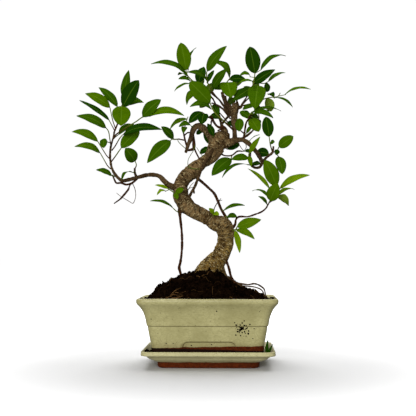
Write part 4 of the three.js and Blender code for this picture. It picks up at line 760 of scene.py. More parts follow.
def glaze_finish(name, edge, slope, worn, shade_line_height, pale, panelled=False):
    """Cream crackled glaze that ends in an uneven line, with bare terracotta below it."""
    finish = Finish(name, Specular_IOR_Level=0.08, Coat_Roughness=0.2)
    place = finish.place()
    x, _, z = finish.parts(place)
    broad = finish.noise(place, 70, 2) - 0.5
    close = finish.noise(place, 600, 2) - 0.5
    wander = broad * (2.2 * MM) + close * (0.5 * MM)
    low, high = (edge - GLAZE_EDGE_BLUR) * MM, (edge + GLAZE_EDGE_BLUR) * MM
    glazed = (z - x * slope + wander).rise(low, high)
    cream, cloud, fine, crackle, pits = crackled_cream(finish, place, pale)
    cream = glaze_dirt_and_shade_line(finish, cream, place, cloud, wander, edge, worn, shade_line_height)
    clay, clay_grain = bare_clay(finish, place)
    # On the pot, painted shade blackens the bare foot down in the saucer and runs round the panel's edge.
    if panelled:
        foot_shade = (z + x * FOOT_SHADE_SLOPE + wander * 0.6).rise(FOOT_SHADE_HEIGHT * MM, (FOOT_SHADE_HEIGHT - FOOT_SHADE_FADE) * MM)
        clay = finish.mix(foot_shade * 0.92, clay, paint(13, 7, 4))
        cream = finish.mix(panel_edge_shade(finish, place) * 0.75, cream, SHADE_LINE_COLOUR)

    finish.set("Base Color", finish.mix(glazed, clay, cream))
    finish.set("Roughness", 0.85 - glazed * 0.5 + (1 - cloud) * 0.1)
    finish.set("Coat Weight", glazed * 0.15)
    ripple = finish.noise(place, 60, 2) * 0.5 + fine * 0.12 - crackle * 0.08 - pits * 0.4
    finish.bump(ripple * glazed + glazed * 0.5 + clay_grain * (1 - glazed) * 0.35, 0.5 * MM, 0.7)
    return finish.material


def soil_finish():
    """Dark, damp, fibrous potting soil."""
    finish = Finish("potting soil", Specular_IOR_Level=0.0)
    place = finish.place()
    lumps = finish.noise(place, 160, 6, 0.7)
    shreds = finish.noise(finish.stretched(place, (1, 1.4, 3)), 420, 4, 0.7, 0.8)
    earth = finish.mix(lumps.rise(0.35, 0.7), paint(4, 2, 1), paint(27, 16, 8))
    earth = finish.mix(shreds.rise(0.64, 0.72) * 0.5, earth, paint(72, 46, 24))
    finish.set("Base Color", earth)
    finish.set("Roughness", 0.8 + lumps * 0.2)
    finish.bump(lumps + shreds * 0.4, 2.4 * MM)
    return finish.material


def fibre_finish():
    """Dry root fibres and shreds of bark in the soil. Each has its own luck, from dark to straw."""
    finish = Finish("root fibre", Specular_IOR_Level=0.0, Roughness=0.8)
    luck = finish.attribute("luck")
    grain = finish.noise(finish.place(), 700, 3)
    fibre = finish.mix(luck, paint(22, 12, 6), paint(126, 92, 54))
    finish.set("Base Color", finish.mix(grain.rise(0.4, 0.7) * 0.5, fibre, paint(26, 14, 8)))
    return finish.material


def thin_bark(finish, cloud, ringed):
    """Plain brown bark, nearly black where it is old, and green on a tendril."""
    twig = finish.mix(cloud.rise(0.3, 0.7), paint(46, 33, 19), paint(88, 68, 45))
    twig = finish.mix(ringed.rise(0.5, 0.68) * 0.5, twig, paint(122, 100, 72))
    aged = finish.mix(cloud, paint(38, 21, 11), paint(82, 50, 29))
    twig = finish.mix(finish.attribute("age"), twig, aged)
    return finish.mix(finish.attribute("tone"), twig, paint(92, 108, 40))


# Where the thick bark turns from golden, low down, to grey tan, and where algae start, in metres.
GOLDEN_BELOW = 0.12
GREY_ABOVE = 0.19
ALGAE_FROM = 0.12
ALGAE_FULL = 0.16


def thick_bark(finish, place, cloud, ringed, fissure, grain):
    """Tan bark with dark rings, blotches and cracks, pale breathing pores, and some algae."""
    height = finish.parts(place)[2]
    warm = height.rise(GREY_ABOVE, GOLDEN_BELOW)
    blotch = finish.noise(place, 130, 4, 0.7)
    grey_tan = finish.mix(cloud.rise(0.35, 0.65), paint(84, 65, 39), paint(140, 114, 76))
    golden = finish.mix(cloud.rise(0.35, 0.65), paint(104, 79, 36), paint(164, 136, 74))
    old = finish.mix(warm, grey_tan, golden)
    old = finish.mix(ringed.rise(0.46, 0.6) * 0.55, old, paint(50, 34, 15))
    old = finish.mix(blotch.rise(0.52, 0.6) * 0.75, old, paint(50, 33, 14))
    old = finish.mix(fissure.rise(0.53, 0.61) * 0.9, old, paint(28, 17, 7))
    pores = finish.noise(finish.stretched(grain, (260, 260, 800)), 1, 3, 0.6, 0.8)
    old = finish.mix(pores.rise(0.55, 0.6) * (0.65 + warm * 0.3), old, paint(206, 184, 134))
    algae = finish.noise(place, 38, 3).rise(0.56, 0.72) * height.rise(ALGAE_FROM, ALGAE_FULL)
    return finish.mix(algae * 0.4, old, paint(66, 70, 22)), pores


# The radius under which a strand has thin bark, and over which it has thick bark, in metres.
THIN_BARK_RADIUS = 0.0018
THICK_BARK_RADIUS = 0.0065


def bark_finish():
    """Tan bark with rings of pale breathing pores on thick wood, and plain brown bark on thin wood."""
    finish = Finish("fig bark", Specular_IOR_Level=0.0)
    grain = finish.attribute("grain", "Vector")
    thick = finish.attribute("girth").rise(THIN_BARK_RADIUS, THICK_BARK_RADIUS)
    place = finish.place()
    cloud = finish.noise(place, 75, 4, 0.6)
    ringed = finish.noise(finish.stretched(grain, (90, 90, 460)), 1, 4, 0.65, 0.6)
    fissure = finish.noise(finish.stretched(grain, (230, 230, 320)), 1, 5, 0.7, 0.6)
    old, pores = thick_bark(finish, place, cloud, ringed, fissure, grain)
    finish.set("Base Color", finish.mix(thick, thin_bark(finish, cloud, ringed), old))
    finish.set("Roughness", 0.68 + fissure * 0.25)
    relief = ringed * 0.6 + fissure * -0.7 + pores.rise(0.5, 0.66) * 0.45
    finish.bump(relief, 1.6 * MM)
    return finish.material


def leaf_colours(finish, colours):
    """Four greens, from the darkest leaf to the youngest, and a little of each leaf's own luck."""
    tone = finish.attribute("tone") + (finish.attribute("luck") - 0.5) * 0.16
    dark, mid, bright, young = colours
    green = finish.mix(tone.rise(0.05, 0.4), dark, mid)
    green = finish.mix(tone.rise(0.36, 0.68), green, bright)
    return finish.mix(tone.rise(0.7, 1.0), green, young)


# Side veins from the base of a blade to its tip, and how far each runs towards the tip on its way out.
SIDE_VEINS = 11
VEIN_SLANT = 2.4


def blade_veins(finish):
    """The midrib and side veins of a blade, and how far out a place is, from the blade's own map."""
    across, along, _ = finish.parts(finish.node("ShaderNodeTexCoord", {}, {}, "UV"))
    side = (across - 0.5).size() * 2
    slant = (along * SIDE_VEINS - side * VEIN_SLANT).fraction()
    veins = (slant - 0.5).size().rise(0.1, 0.0) * side.rise(0.98, 0.7) * 0.6
    return side.rise(0.1, 0.02), veins, side


# The greens by tone, from the darkest to the youngest. The darkest are painted shade for leaves in shadow.
UPPER_GREENS = [paint(20, 53, 3), paint(52, 86, 3), paint(72, 104, 2), paint(118, 148, 12)]
UNDERSIDE_GREENS = [paint(42, 68, 16), paint(68, 96, 22), paint(90, 118, 28), paint(114, 140, 36)]


def leaf_finish():
    """The upper side of a leaf."""
    finish = Finish("leaf upper side", Specular_IOR_Level=0.0)
    midrib, veins, side = blade_veins(finish)
    green = leaf_colours(finish, UPPER_GREENS)
    mottle = finish.noise(finish.place(), 170, 3)
    green = finish.mix(mottle.rise(0.35, 0.75) * 0.3, green, paint(26, 66, 1))
    green = finish.mix(midrib * 0.35, green, paint(104, 136, 34))
    green = finish.mix(veins * 0.14, green, paint(86, 120, 22))
    finish.set("Base Color", green)
    finish.set("Roughness", 0.4 + mottle * 0.12)
    finish.bump(side.rise(0.0, 0.16) * 0.8 - veins * 0.3, 0.3 * MM, 0.6)
    return finish.material


def leaf_underside_finish():
    """The paler, duller underside of a leaf."""
    finish = Finish("leaf underside", Specular_IOR_Level=0.0)
    midrib, veins, _ = blade_veins(finish)
    green = leaf_colours(finish, UNDERSIDE_GREENS)
    green = finish.mix(midrib * 0.6, green, paint(128, 148, 70))
    green = finish.mix(veins * 0.3, green, paint(108, 132, 56))
    finish.set("Base Color", green)
    finish.set("Roughness", 0.55 + finish.noise(finish.place(), 200, 3) * 0.2)
    finish.bump(midrib + veins * 0.4, 0.3 * MM, 0.7)
    return finish.material


def stem_finish():
    """A soft stem that turns from reddish brown bark, where it is old, to yellow green."""
    finish = Finish("green stem", Specular_IOR_Level=0.0)
    age = finish.attribute("age")
    grain = finish.noise(finish.place(), 480, 3)
    stem = finish.mix((age + (grain - 0.5) * 0.3).rise(0.25, 0.75), paint(92, 108, 32), paint(66, 42, 22))
    finish.set("Base Color", finish.mix(grain.rise(0.55, 0.75) * 0.4, stem, paint(44, 28, 14)))
    finish.set("Roughness", 0.5 + grain * 0.2)
    return finish.material


# The studio floor is pale, without painted glow, as far as the first distance from the middle, and glows
# pure white with painted light from the second on, in metres.
FLOOR_GLOW_START = 0.14
FLOOR_GLOW_FULL = 0.5


def floor_finish():
    """A pale studio floor with painted light: it glows more away from the object, up to pure white."""
    finish = Finish("studio floor", Specular_IOR_Level=0.0, Roughness=0.9, Emission_Strength=1.0)
    place = finish.place()
    x, y, _ = finish.parts(place)
    floor_glow = ((x ** 2 + y ** 2) ** 0.5).rise(FLOOR_GLOW_START, FLOOR_GLOW_FULL)
    cloud = finish.noise(place, 3, 2) * 0.02
    finish.set("Base Color", finish.mix(cloud, paint(216, 216, 216), paint(212, 212, 212)))
    # Painted light: the floor glows more the farther it is from the object.
    finish.set("Emission Color", finish.mix(floor_glow, paint(0, 0, 0), paint(255, 255, 255)))
    return finish.material


# ---------------------------------------------------------------- meshes in the making


def new_part():
    """An empty mesh in the making, with the layers that the finishes read, and those layers by name."""
    bm = bmesh.new()
    layers = {name: bm.verts.layers.float.new(name) for name in ("luck", "age", "tone", "girth")}
    layers["grain"] = bm.verts.layers.float_vector.new("grain")
    bm.loops.layers.uv.new("blade")
    return bm, layers


def add_to(whole, part):
    """Moves a mesh in the making into a larger one."""
    scratch = bpy.data.meshes.new("scratch")
    part.to_mesh(scratch)
    part.free()
    whole.from_mesh(scratch)
    bpy.data.meshes.remove(scratch)


def shade_smooth(bm):
    """Lets light run softly over the faces."""
    for face in bm.faces:
        face.smooth = True


def into_metres(bm):
    """Turns a mesh that was made in millimetres into metres."""
    bmesh.ops.scale(bm, vec=(MM, MM, MM), verts=bm.verts)


def linked(name, bm):
    """A new object in the scene from a mesh in the making."""
    mesh = bpy.data.meshes.new(name)
    bm.to_mesh(mesh)
    bm.free()
    made = bpy.data.objects.new(name, mesh)
    bpy.context.scene.collection.objects.link(made)
    return made


def finished(name, bm, materials, slot, *nodes):
    """A piece of the object from its mesh: it rides on the one body and stands for its CAD nodes."""
    piece = linked(name, bm)
    for material in materials:
        piece.data.materials.append(material)
    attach(piece, "root")
    if nodes:
        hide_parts(*nodes)
    return piece


def apply_modifier(bm, kind, **settings):
    """Runs one modifier on a mesh in the making and returns the result as a new one."""
    carrier = linked("scratch", bm)
    modifier = carrier.modifiers.new("shape", kind)
    for setting, value in settings.items():
        setattr(modifier, setting, value)
    shaped = carrier.evaluated_get(bpy.context.evaluated_depsgraph_get())
    result = bmesh.new()
    result.from_mesh(shaped.to_mesh())
    mesh = carrier.data
    bpy.data.objects.remove(carrier)
    bpy.data.meshes.remove(mesh)
    return result


def rounded_by_subdivision(bm):
    """Softens the edges and corners of a mesh in the making."""
    return apply_modifier(bm, "SUBSURF", levels=2, render_levels=2)


# ---------------------------------------------------------------- routes and strands


def seen(point):
    """The place, in metres, of a point that is written [across, up, depth] in millimetres."""
    across, up, depth = point[:3]
    reach = 1 - depth / EYE.y
    x = EYE.x + (across - EYE.x) * reach
    z = EYE.z + (up - EYE.z) * reach
    return Vector((x, depth, z)) * MM


def smooth_route(points, steps):
    """More values along a list of numbers or vectors, on a Catmull-Rom curve through them."""
    result = []
    for i in range(len(points) - 1):
        before = points[max(i - 1, 0)]
        start, end = points[i], points[i + 1]
        after = points[min(i + 2, len(points) - 1)]
        for step in range(steps):
            t = step / steps
            result.append(
                start
                + (end - before) * (0.5 * t)
                + (before * 2 - start * 5 + end * 4 - after) * (0.5 * t * t)
                + (start * 3 - before - end * 3 + after) * (0.5 * t * t * t)
            )
    result.append(points[-1])
    return result


def travelling_frames(route):
    """For each point of a route, axes that turn with it without twisting: side, other side, along."""
    along = (route[1] - route[0]).normalized()
    side = along.orthogonal().normalized()
    frames = []
    for i in range(len(route)):
        ahead = route[min(i + 1, len(route) - 1)] - route[max(i - 1, 0)]
        turned = ahead.normalized()
        side = along.rotation_difference(turned) @ side
        along = turned
        side = (side - along * side.dot(along)).normalized()
        frames.append((side, along.cross(side), along))
    return frames


def placed(point, axes, radius):
    """The move that brings a disc of radius 1 to a point of a route, square to it."""
    side, other, along = axes
    turn = Matrix((side * radius, other * radius, along * radius)).transposed().to_4x4()
    return Matrix.Translation(point) @ turn


def label_ring(verts, layers, centre, axes, radius, length):
    """Writes where each point of a ring lies on its strand: to each side of the middle, and along."""
    side, other, _ = axes
    for vert in verts:
        offset = vert.co - centre
        vert[layers["grain"]] = Vector((offset.dot(side), offset.dot(other), length))
        vert[layers["girth"]] = radius


def extruded_face(bm, face, keep):
    """Extrudes a face and returns the new one. The old one stays only where it closes the end."""
    made = bmesh.ops.extrude_face_region(bm, geom=[face])["geom"]
    if not keep:
        bm.faces.remove(face)
    return next(item for item in made if isinstance(item, bmesh.types.BMFace))


def tube(route, radii, sides):
    """A closed round strand: a disc that is extruded along its route and swells with its radii."""
    bm, layers = new_part()
    bmesh.ops.create_circle(bm, cap_ends=True, segments=sides, radius=1)
    frames = travelling_frames(route)
    spot = placed(route[0], frames[0], radii[0])
    bmesh.ops.transform(bm, matrix=spot, verts=bm.verts)
    face = bm.faces[:][0]
    length = 0.0
    label_ring(face.verts, layers, route[0], frames[0], radii[0], length)
    for i in range(1, len(route)):
        face = extruded_face(bm, face, keep=i == 1)
        after = placed(route[i], frames[i], radii[i])
        bmesh.ops.transform(bm, matrix=after @ spot.inverted(), verts=face.verts)
        length += (route[i] - route[i - 1]).length
        label_ring(face.verts, layers, route[i], frames[i], radii[i], length)
        spot = after
    bmesh.ops.recalc_face_normals(bm, faces=bm.faces)
    shade_smooth(bm)
    return bm, layers


# ---------------------------------------------------------------- leaves and shoots

# A blade: how deeply it folds along its midrib, its mesh, and its thickness in millimetres.
LEAF_FOLD = 0.14
LEAF_ROWS = 14
LEAF_COLUMNS = 8
BLADE_THICKNESS = 0.4

# In millimetres, half the least width of a blade's base and of its tip, and a leaf stalk's radius.
BASE_HALF_WIDTH = 0.45
TIP_HALF_WIDTH = 0.12
STALK_RADIUS = 0.55

# The materials of a leafy shoot, by their number on it.
UPPER_SIDE, UNDERSIDE, STEM = range(3)

# A stem's sides, and its age, from old, 1, to young, 0. The stems of dark leaves don't get quite young.
STEM_SIDES = 7
STEM_BASE_AGE = 0.9
DARK_STEM_TIP_AGE = 0.3
STALK_BASE_AGE = 0.5


def blade_half_width(place, width, roundness):
    """Half the blade's width at a place from its base, 0, to its drawn-out tip, 1."""
    swell = math.sin(math.pi * place ** (0.8 + 0.15 * roundness))
    oval = max(swell, 0) ** (0.8 - 0.22 * roundness)
    return max(oval * width / 2, BASE_HALF_WIDTH if place < 0.5 else TIP_HALF_WIDTH)


def blade_axes(base, tip, turn):
    """Axes of a blade: along it, its upper face turned from the viewer towards the sky, and across."""
    along = (tip - base).normalized()
    facing = (Vector((0, -1, 0)) + along * along.y).normalized()
    skyward = along.cross(facing)
    if skyward.z < 0:
        skyward.negate()
    angle = math.radians(turn)
    face = facing * math.cos(angle) + skyward * math.sin(angle)
    return along, face, along.cross(face)


# A blade up to this share as wide as it is long is a narrow oval. Over the span above that it gets round.
NARROW_SHARE = 0.4
ROUNDING_SPAN = 0.15

# Waves along a blade's edge, in radians from base to tip, and how high they stand in millimetres.
EDGE_WAVES = 15
EDGE_RIPPLE = (0.1, 0.35)


def blade(base, tip, width, turn, arch, tone, chance):
    """One leaf blade: folded a little along its midrib, arched along its length, with a wavy edge."""
    along, face, across = blade_axes(base, tip, turn)
    length = (tip - base).length
    roundness = min(max((width * MM / length - NARROW_SHARE) / ROUNDING_SPAN, 0), 1)
    luck = chance.random()
    phase = chance.uniform(0, math.tau)
    ripple = chance.uniform(*EDGE_RIPPLE) * MM
    bm, layers = new_part()
    bmesh.ops.create_grid(bm, x_segments=LEAF_COLUMNS, y_segments=LEAF_ROWS, size=1, calc_uvs=True)
    for vert in bm.verts:
        sideways = vert.co.x
        place = (vert.co.y + 1) / 2
        half = blade_half_width(place, width, roundness) * MM
        lift = arch * length * 4 * place * (1 - place)
        fold = LEAF_FOLD * half * (math.sqrt(sideways ** 2 + 0.03) - 0.17)
        wave = ripple * sideways ** 2 * math.sin(place * EDGE_WAVES + phase + sideways)
        vert.co = base + along * (place * length) + across * (sideways * half)
        vert.co += face * (lift + fold + wave + BLADE_THICKNESS * MM / 2)
        vert[layers["luck"]] = luck
        vert[layers["tone"]] = tone
    bmesh.ops.recalc_face_normals(bm, faces=bm.faces)
    if sum(f.normal.dot(face) for f in bm.faces) < 0:
        bmesh.ops.reverse_faces(bm, faces=bm.faces)
    bmesh.ops.solidify(bm, geom=bm.faces[:], thickness=BLADE_THICKNESS * MM)
    bmesh.ops.recalc_face_normals(bm, faces=bm.faces)
    shade_smooth(bm)
    for side in bm.faces:
        side.material_index = UNDERSIDE if side.normal.dot(face) < -0.15 else UPPER_SIDE
    return bm


def soft_stem(route, radii, old, young, luck):
    """A thin stem or leaf stalk whose age falls from old to young along it."""
    bm, layers = tube(route, radii, STEM_SIDES)
    longest = max(vert[layers["grain"]].z for vert in bm.verts)
    for vert in bm.verts:
        share = vert[layers["grain"]].z / longest
        vert[layers["age"]] = old + (young - old) * share
        vert[layers["luck"]] = luck
    for face in bm.faces:
        face.material_index = STEM
    return bm


def stem_point(stems, place):
    """The point of a shoot's stems that is seen nearest to a place, with its depth and the share."""
    best = None
    for route in stems:
        points = smooth_route([Vector(point) for point in route], 10)
        for number, point in enumerate(points):
            distance = math.hypot(point[0] - place[0], point[1] - place[1])
            if best is None or distance < best[0]:
                best = (distance, point, number / len(points))
    return best[1], best[2]


# A leaf stalk: how far it reaches into its blade, how many steps it has, and how much each is thinner.
STALK_OVERLAP = 1.5
STALK_STEPS = 4
STALK_TAPER = 0.06


def leaf_stalk(start, base, tip, age, luck):
    """The stalk of a leaf, from its stem into the base of its blade."""
    end = base + (tip - base).normalized() * (STALK_OVERLAP * MM)
    route = [start.lerp(end, step / STALK_STEPS) for step in range(STALK_STEPS + 1)]
    radii = [STALK_RADIUS * MM * (1 - STALK_TAPER * step) for step in range(STALK_STEPS + 1)]
    return soft_stem(route, radii, age, 0.0, luck)


def shoot(name, tone, stems, leaves, materials, chance):
    """A leafy shoot: its stems, and each leaf with its stalk."""
    whole = bmesh.new()
    youngest = DARK_STEM_TIP_AGE if tone == "dark" else 0.0
    for points in stems:
        route, radii = strand_route(points, 4)
        add_to(whole, soft_stem(route, radii, STEM_BASE_AGE, youngest, chance.random()))
    tone_and_shading = LEAF_TONE_AND_SHADING.get(name, {})
    for number, (start_place, tip_place, width, turn, stalk, arch) in enumerate(leaves):
        stem, share = stem_point(stems, start_place)
        start, tip = seen(stem), seen(tip_place)
        base = start.lerp(tip, stalk * MM / (tip - start).length)
        # The shoot's tone and the leaf's change: partly its own tone, partly painted shade and painted
        # light.
        shade = TONES[tone] + tone_and_shading.get(number, 0)
        add_to(whole, blade(base, tip, width, turn, arch, shade, chance))
        if stalk > 0:
            age = STALK_BASE_AGE * (1 - share)
            add_to(whole, leaf_stalk(start, base, tip, age, chance.random()))
    return finished(f"{name}_foliage", whole, materials, f"leaf_{tone}", name)


# The dropped leaf in the saucer, torn into blades: base, tip and width.
DROPPED_BLADES = [
    [(67, -38, 14.5), (68.2, -40, 33), 4.2],
    [(66, -39, 15), (64.5, -41, 25), 3],
    [(68, -39, 15), (73.5, -42, 28), 3],
]
DROPPED_TURN = 30
DROPPED_ARCH = 0.1
DROPPED_TONE = TONES["dark"] - 0.1


def make_shoots():
    """Every leafy shoot, and the dropped leaf."""
    chance = random.Random(SEED)
    materials = [leaf_finish(), leaf_underside_finish(), stem_finish()]
    for name, (tone, stems, leaves) in SHOOTS.items():
        shoot(name, tone, stems, leaves, materials, chance)
    whole = bmesh.new()
    for base, tip, width in DROPPED_BLADES:
        base, tip = Vector(base) * MM, Vector(tip) * MM
        add_to(whole, blade(base, tip, width, DROPPED_TURN, DROPPED_ARCH, DROPPED_TONE, chance))
    finished("dropped_leaf", whole, materials, "leaf_dark", "fallen_leaf")


# ---------------------------------------------------------------- wood

# Strands whose radius gets over the first, in millimetres, are blended into one skin, and those over
# the second are as round as the trunk.
BLENDED_RADIUS = 2.1
TRUNK_RADIUS = 5
TRUNK_SIDES = 24
BRANCH_SIDES = 14
TWIG_SIDES = 9
WOOD_VOXEL = 0.65 * MM
STRAND_STEPS = 6


def strand_route(points, steps):
    """The places and the radii, in metres, along the smooth curve through a strand's points."""
    smooth = smooth_route([Vector(point) for point in points], steps)
    return [seen(point) for point in smooth], [point[3] * MM for point in smooth]


def label_blended(bm, centres):
    """Gives each point of the blended wood its place on the strand that it belongs to."""
    tree = kdtree.KDTree(len(centres))
    for number, (point, *_) in enumerate(centres):
        tree.insert(point, number)
    tree.balance()
    girth = bm.verts.layers.float.new("girth")
    age = bm.verts.layers.float.new("age")
    grain = bm.verts.layers.float_vector.new("grain")
    for vert in bm.verts:
        near = tree.find_n(vert.co, 30)
        found = [(distance / centres[number][2], number) for _, number, distance in near]
        centre, axes, radius, length, dark = centres[min(found)[1]]
        offset = vert.co - centre
        vert[grain] = Vector((offset.dot(axes[0]), offset.dot(axes[1]), length + offset.dot(axes[2])))
        vert[girth] = radius
        vert[age] = dark
    return girth, grain


def bark_relief(grain, radius):
    """How far the bark stands out at a place: rings round the wood, small lumps and broad swellings."""
    rings = noise.noise(Vector((grain.x * 60, grain.y * 60, grain.z * 330)))
    lumps = noise.noise(Vector((grain.x * 130, grain.y * 130, grain.z * 110 + 31)))
    broad = noise.noise(Vector((grain.x * 45, grain.y * 45, grain.z * 55 + 77)))
    share = min(radius / (8 * MM), 1)
    return (rings * 0.7 + lumps * 0.9) * MM * (0.35 + 0.65 * share) + broad * 1.1 * MM * share


def strand_centres(name, route, radii):
    """For each point of a strand: itself, its axes, radius, length from the root, and darkness."""
    lengths = [0.0]
    for here, after in zip(route, route[1:]):
        lengths.append(lengths[-1] + (after - here).length)
    dark = [float(name in DARK_STRANDS)] * len(route)
    return list(zip(route, travelling_frames(route), radii, lengths, dark))


def blended_wood(solid, centres):
    """One bark skin over the thick strands, with its grain, girth and relief."""
    skin = apply_modifier(solid, "REMESH", mode="VOXEL", voxel_size=WOOD_VOXEL)
    for _ in range(2):
        bmesh.ops.smooth_vert(
            skin, verts=skin.verts, factor=0.5, use_axis_x=True, use_axis_y=True, use_axis_z=True
        )
    girth, grain = label_blended(skin, centres)
    skin.normal_update()
    shifts = [(vert, vert.normal * bark_relief(vert[grain], vert[girth])) for vert in skin.verts]
    for vert, shift in shifts:
        vert.co += shift
    shade_smooth(skin)
    return skin


def make_wood():
    """The thick wood as one blended skin, and the thin twigs and roots set into it."""
    bark = bark_finish()
    solid, thin, fine = bmesh.new(), bmesh.new(), bmesh.new()
    centres = []
    for name, points in STRANDS.items():
        thickest = max(point[3] for point in points)
        if thickest > BLENDED_RADIUS:
            route, radii = strand_route(points, STRAND_STEPS)
            centres += strand_centres(name, route, radii)
            sides = TRUNK_SIDES if thickest > TRUNK_RADIUS else BRANCH_SIDES
            add_to(solid, tube(route, radii, sides)[0])
        else:
            add_to(thin, knobbly_twig(name, points))
    for name, points in FINE_STRANDS.items():
        add_to(fine, knobbly_twig(name, points))
    finished("trunk_and_branches", blended_wood(solid, centres), [bark], "bark", "tree_wood")
    finished("twigs_and_roots", thin, [bark], "bark", "tree_wood")
    finished("tendrils", fine, [bark], "bark")


def knobbly_twig(name, points):
    """A thin twig or root with uneven joints along it."""
    route, radii = strand_route(points, STRAND_STEPS)
    uneven = [
        radius * (1 + 0.16 * noise.noise(place * 420) + 0.1 * noise.noise(place * 1300))
        for place, radius in zip(route, radii)
    ]
    bm, layers = tube(route, uneven, TWIG_SIDES)
    for vert in bm.verts:
        vert[layers["age"]] = float(name in DARK_STRANDS)
        vert[layers["tone"]] = float(name in GREEN_STRANDS)
    return bm


# ---------------------------------------------------------------- pot and saucer

# In millimetres, as the solids have them. The pot stands a little left of the saucer's middle. Each
# half depth is its half width less POT_DEPTH_LESS or SAUCER_DEPTH_LESS.
POT_SHIFT_X = -1
POT_DEPTH_LESS = 24
POT_CORNER = 9
SAUCER_DEPTH_LESS = 20
SAUCER_CORNER = 9
CORNER_SEGMENTS = 6
POT_SIDE_CUTS = 17
SAUCER_SIDE_CUTS = 9

# The heights of the pot's band line and of the saucer's line under its rim: lines of painted shade run at
# both.
BAND_HEIGHT = 48.2
SAUCER_SHADE_LINE_HEIGHT = 13.2

# Half width and height of each ring, from the underside out, up and over to the floor inside.
POT_PROFILE = [
    (46, 15.5), (54.2, 15.5), (55, 14.6), (55.5, 12.6), (63.6, 12.6), (64.3, 13.2), (64.6, 16), (65, 20),
    (65.2, 24), (65.5, 28), (66.1, 31.5), (67, 36), (68, 41.5), (68.6, 45.5), (68.75, 47.4), (68.8, 48),
    (69.9, 48.4), (70, 49), (70.4, 52), (71.2, 56.5), (72.9, 62.5), (75.1, 67.4), (77.7, 71),
    (80.1, 73.5), (80.8, 75.3), (80.9, 77.6), (80.3, 79.2), (78.4, 79.5), (75.9, 79.3), (74.5, 77.6),
    (71.8, 73), (67, 62), (58, 22), (56, 20.2), (49, 20),
]
SAUCER_PROFILE = [
    (40, 0.05), (57.6, 0.05), (58.4, 0.8), (59, 6), (59.3, 6.8), (61, 7.4), (65, 9.3), (68.6, 11.6),
    (70.6, 13.8), (71.6, 14.7), (75.4, 15.1), (76.4, 15.8), (76.5, 17.4), (76.1, 17.9), (76.1, 18.3),
    (76.3, 19.6), (75.9, 20.2), (74.6, 20.3), (73.8, 19.8), (71, 16.8), (67.6, 13.7), (66, 12.6),
    (62, 12.5), (50, 12.5),
]


def rounded_outline(half_width, half_depth, corner, cuts):
    """A level face with rounded corners and evenly cut sides."""
    bm = bmesh.new()
    bmesh.ops.create_grid(bm, x_segments=1, y_segments=1, size=1)
    bmesh.ops.scale(bm, vec=(half_width, half_depth, 1), verts=bm.verts)
    bmesh.ops.bevel(
        bm, geom=bm.verts[:], offset=corner, offset_type="OFFSET", segments=CORNER_SEGMENTS,
        profile=0.5, affect="VERTICES", material=-1,
    )
    sides = [edge for edge in bm.edges if edge.calc_length() > corner]
    bmesh.ops.subdivide_edges(bm, edges=sides, cuts=cuts)
    return bm


def resized(point, before, after):
    """A point of one rounded ring, [half width, half depth, corner, z], moved to another ring."""
    reach = [max(min(point[i], before[i] - before[2]), before[2] - before[i]) for i in (0, 1)]
    result = []
    for i in (0, 1):
        spread = (after[i] - after[2]) / (before[i] - before[2])
        result.append(reach[i] * spread + (point[i] - reach[i]) * after[2] / before[2])
    return Vector((result[0], result[1], after[3]))


def lofted(rings, cuts):
    """A vessel or mound from its rings, from the middle of the underside up to the middle of the top."""
    bm = rounded_outline(*rings[0][:3], cuts)
    face = bm.faces[:][0]
    for vert in face.verts:
        vert.co.z = rings[0][3]
    for before, after in zip(rings, rings[1:]):
        face = extruded_face(bm, face, keep=before is rings[0])
        for vert in face.verts:
            vert.co = resized(vert.co, before, after)
    bmesh.ops.recalc_face_normals(bm, faces=bm.faces)
    return bm


def glazed_vessel(profile, depth_less, corner, cuts):
    """A vessel with soft edges: its rings, rounded by subdivision, in millimetres."""
    rings = []
    for half, height in profile:
        half_depth = half - depth_less
        rings.append((half, half_depth, min(corner, half_depth - 1), height))
    return rounded_by_subdivision(lofted(rings, cuts))


def soft_step(share):
    """A share from 0 to 1, eased at both ends."""
    share = min(max(share, 0), 1)
    return share * share * (3 - 2 * share)


def panel_share(x, z):
    """How far a place at the foot of the pot lies inside the shallow panel, from 0 to 1."""
    outside_x = max(abs(x - PANEL_MIDDLE) - PANEL_STRAIGHT, 0)
    outside_z = max(z - (PANEL_TOP - PANEL_CORNER), 0)
    depth = PANEL_CORNER - math.hypot(outside_x, outside_z)
    return soft_step(depth / PANEL_EDGE + 0.5)


# The panel is pressed only into walls farther out than this and below this height. The whole pot is a
# little uneven.
PANEL_WALL_Y = 38
PANEL_WALL_TOP = 40
POT_WOBBLE = 0.35
POT_WOBBLE_SCALE = 0.03


def make_pot():
    """The pot: flared lip, a band line round its middle, and a shallow panel low on its front and back."""
    bm = glazed_vessel(POT_PROFILE, POT_DEPTH_LESS, POT_CORNER, POT_SIDE_CUTS)
    for vert in bm.verts:
        if abs(vert.co.y) > PANEL_WALL_Y and vert.co.z < PANEL_WALL_TOP:
            inward = -1 if vert.co.y > 0 else 1
            vert.co.y += inward * PANEL_DEPTH * panel_share(vert.co.x, vert.co.z)
        vert.co += vert.normal * (POT_WOBBLE * noise.noise(vert.co * POT_WOBBLE_SCALE))
        vert.co.x += POT_SHIFT_X
    into_metres(bm)
    shade_smooth(bm)
    wall = BVHTree.FromBMesh(bm)
    glaze = glaze_finish(
        "pot glaze", edge=24.4, slope=0.0175, worn=40, shade_line_height=BAND_HEIGHT, pale=0.0, panelled=True
    )
    finished("glazed_pot", bm, [glaze], "glaze", "pot")
    return wall


def make_saucer():
    """The saucer: a flat rim with a fine line in its edge, sloping walls and a bare foot."""
    bm = glazed_vessel(SAUCER_PROFILE, SAUCER_DEPTH_LESS, SAUCER_CORNER, SAUCER_SIDE_CUTS)
    into_metres(bm)
    shade_smooth(bm)
    glaze = glaze_finish(
        "saucer glaze", edge=7.1, slope=0.004, worn=16, shade_line_height=SAUCER_SHADE_LINE_HEIGHT, pale=0.25
    )
    finished("glazed_saucer", bm, [glaze], "glaze", "saucer")


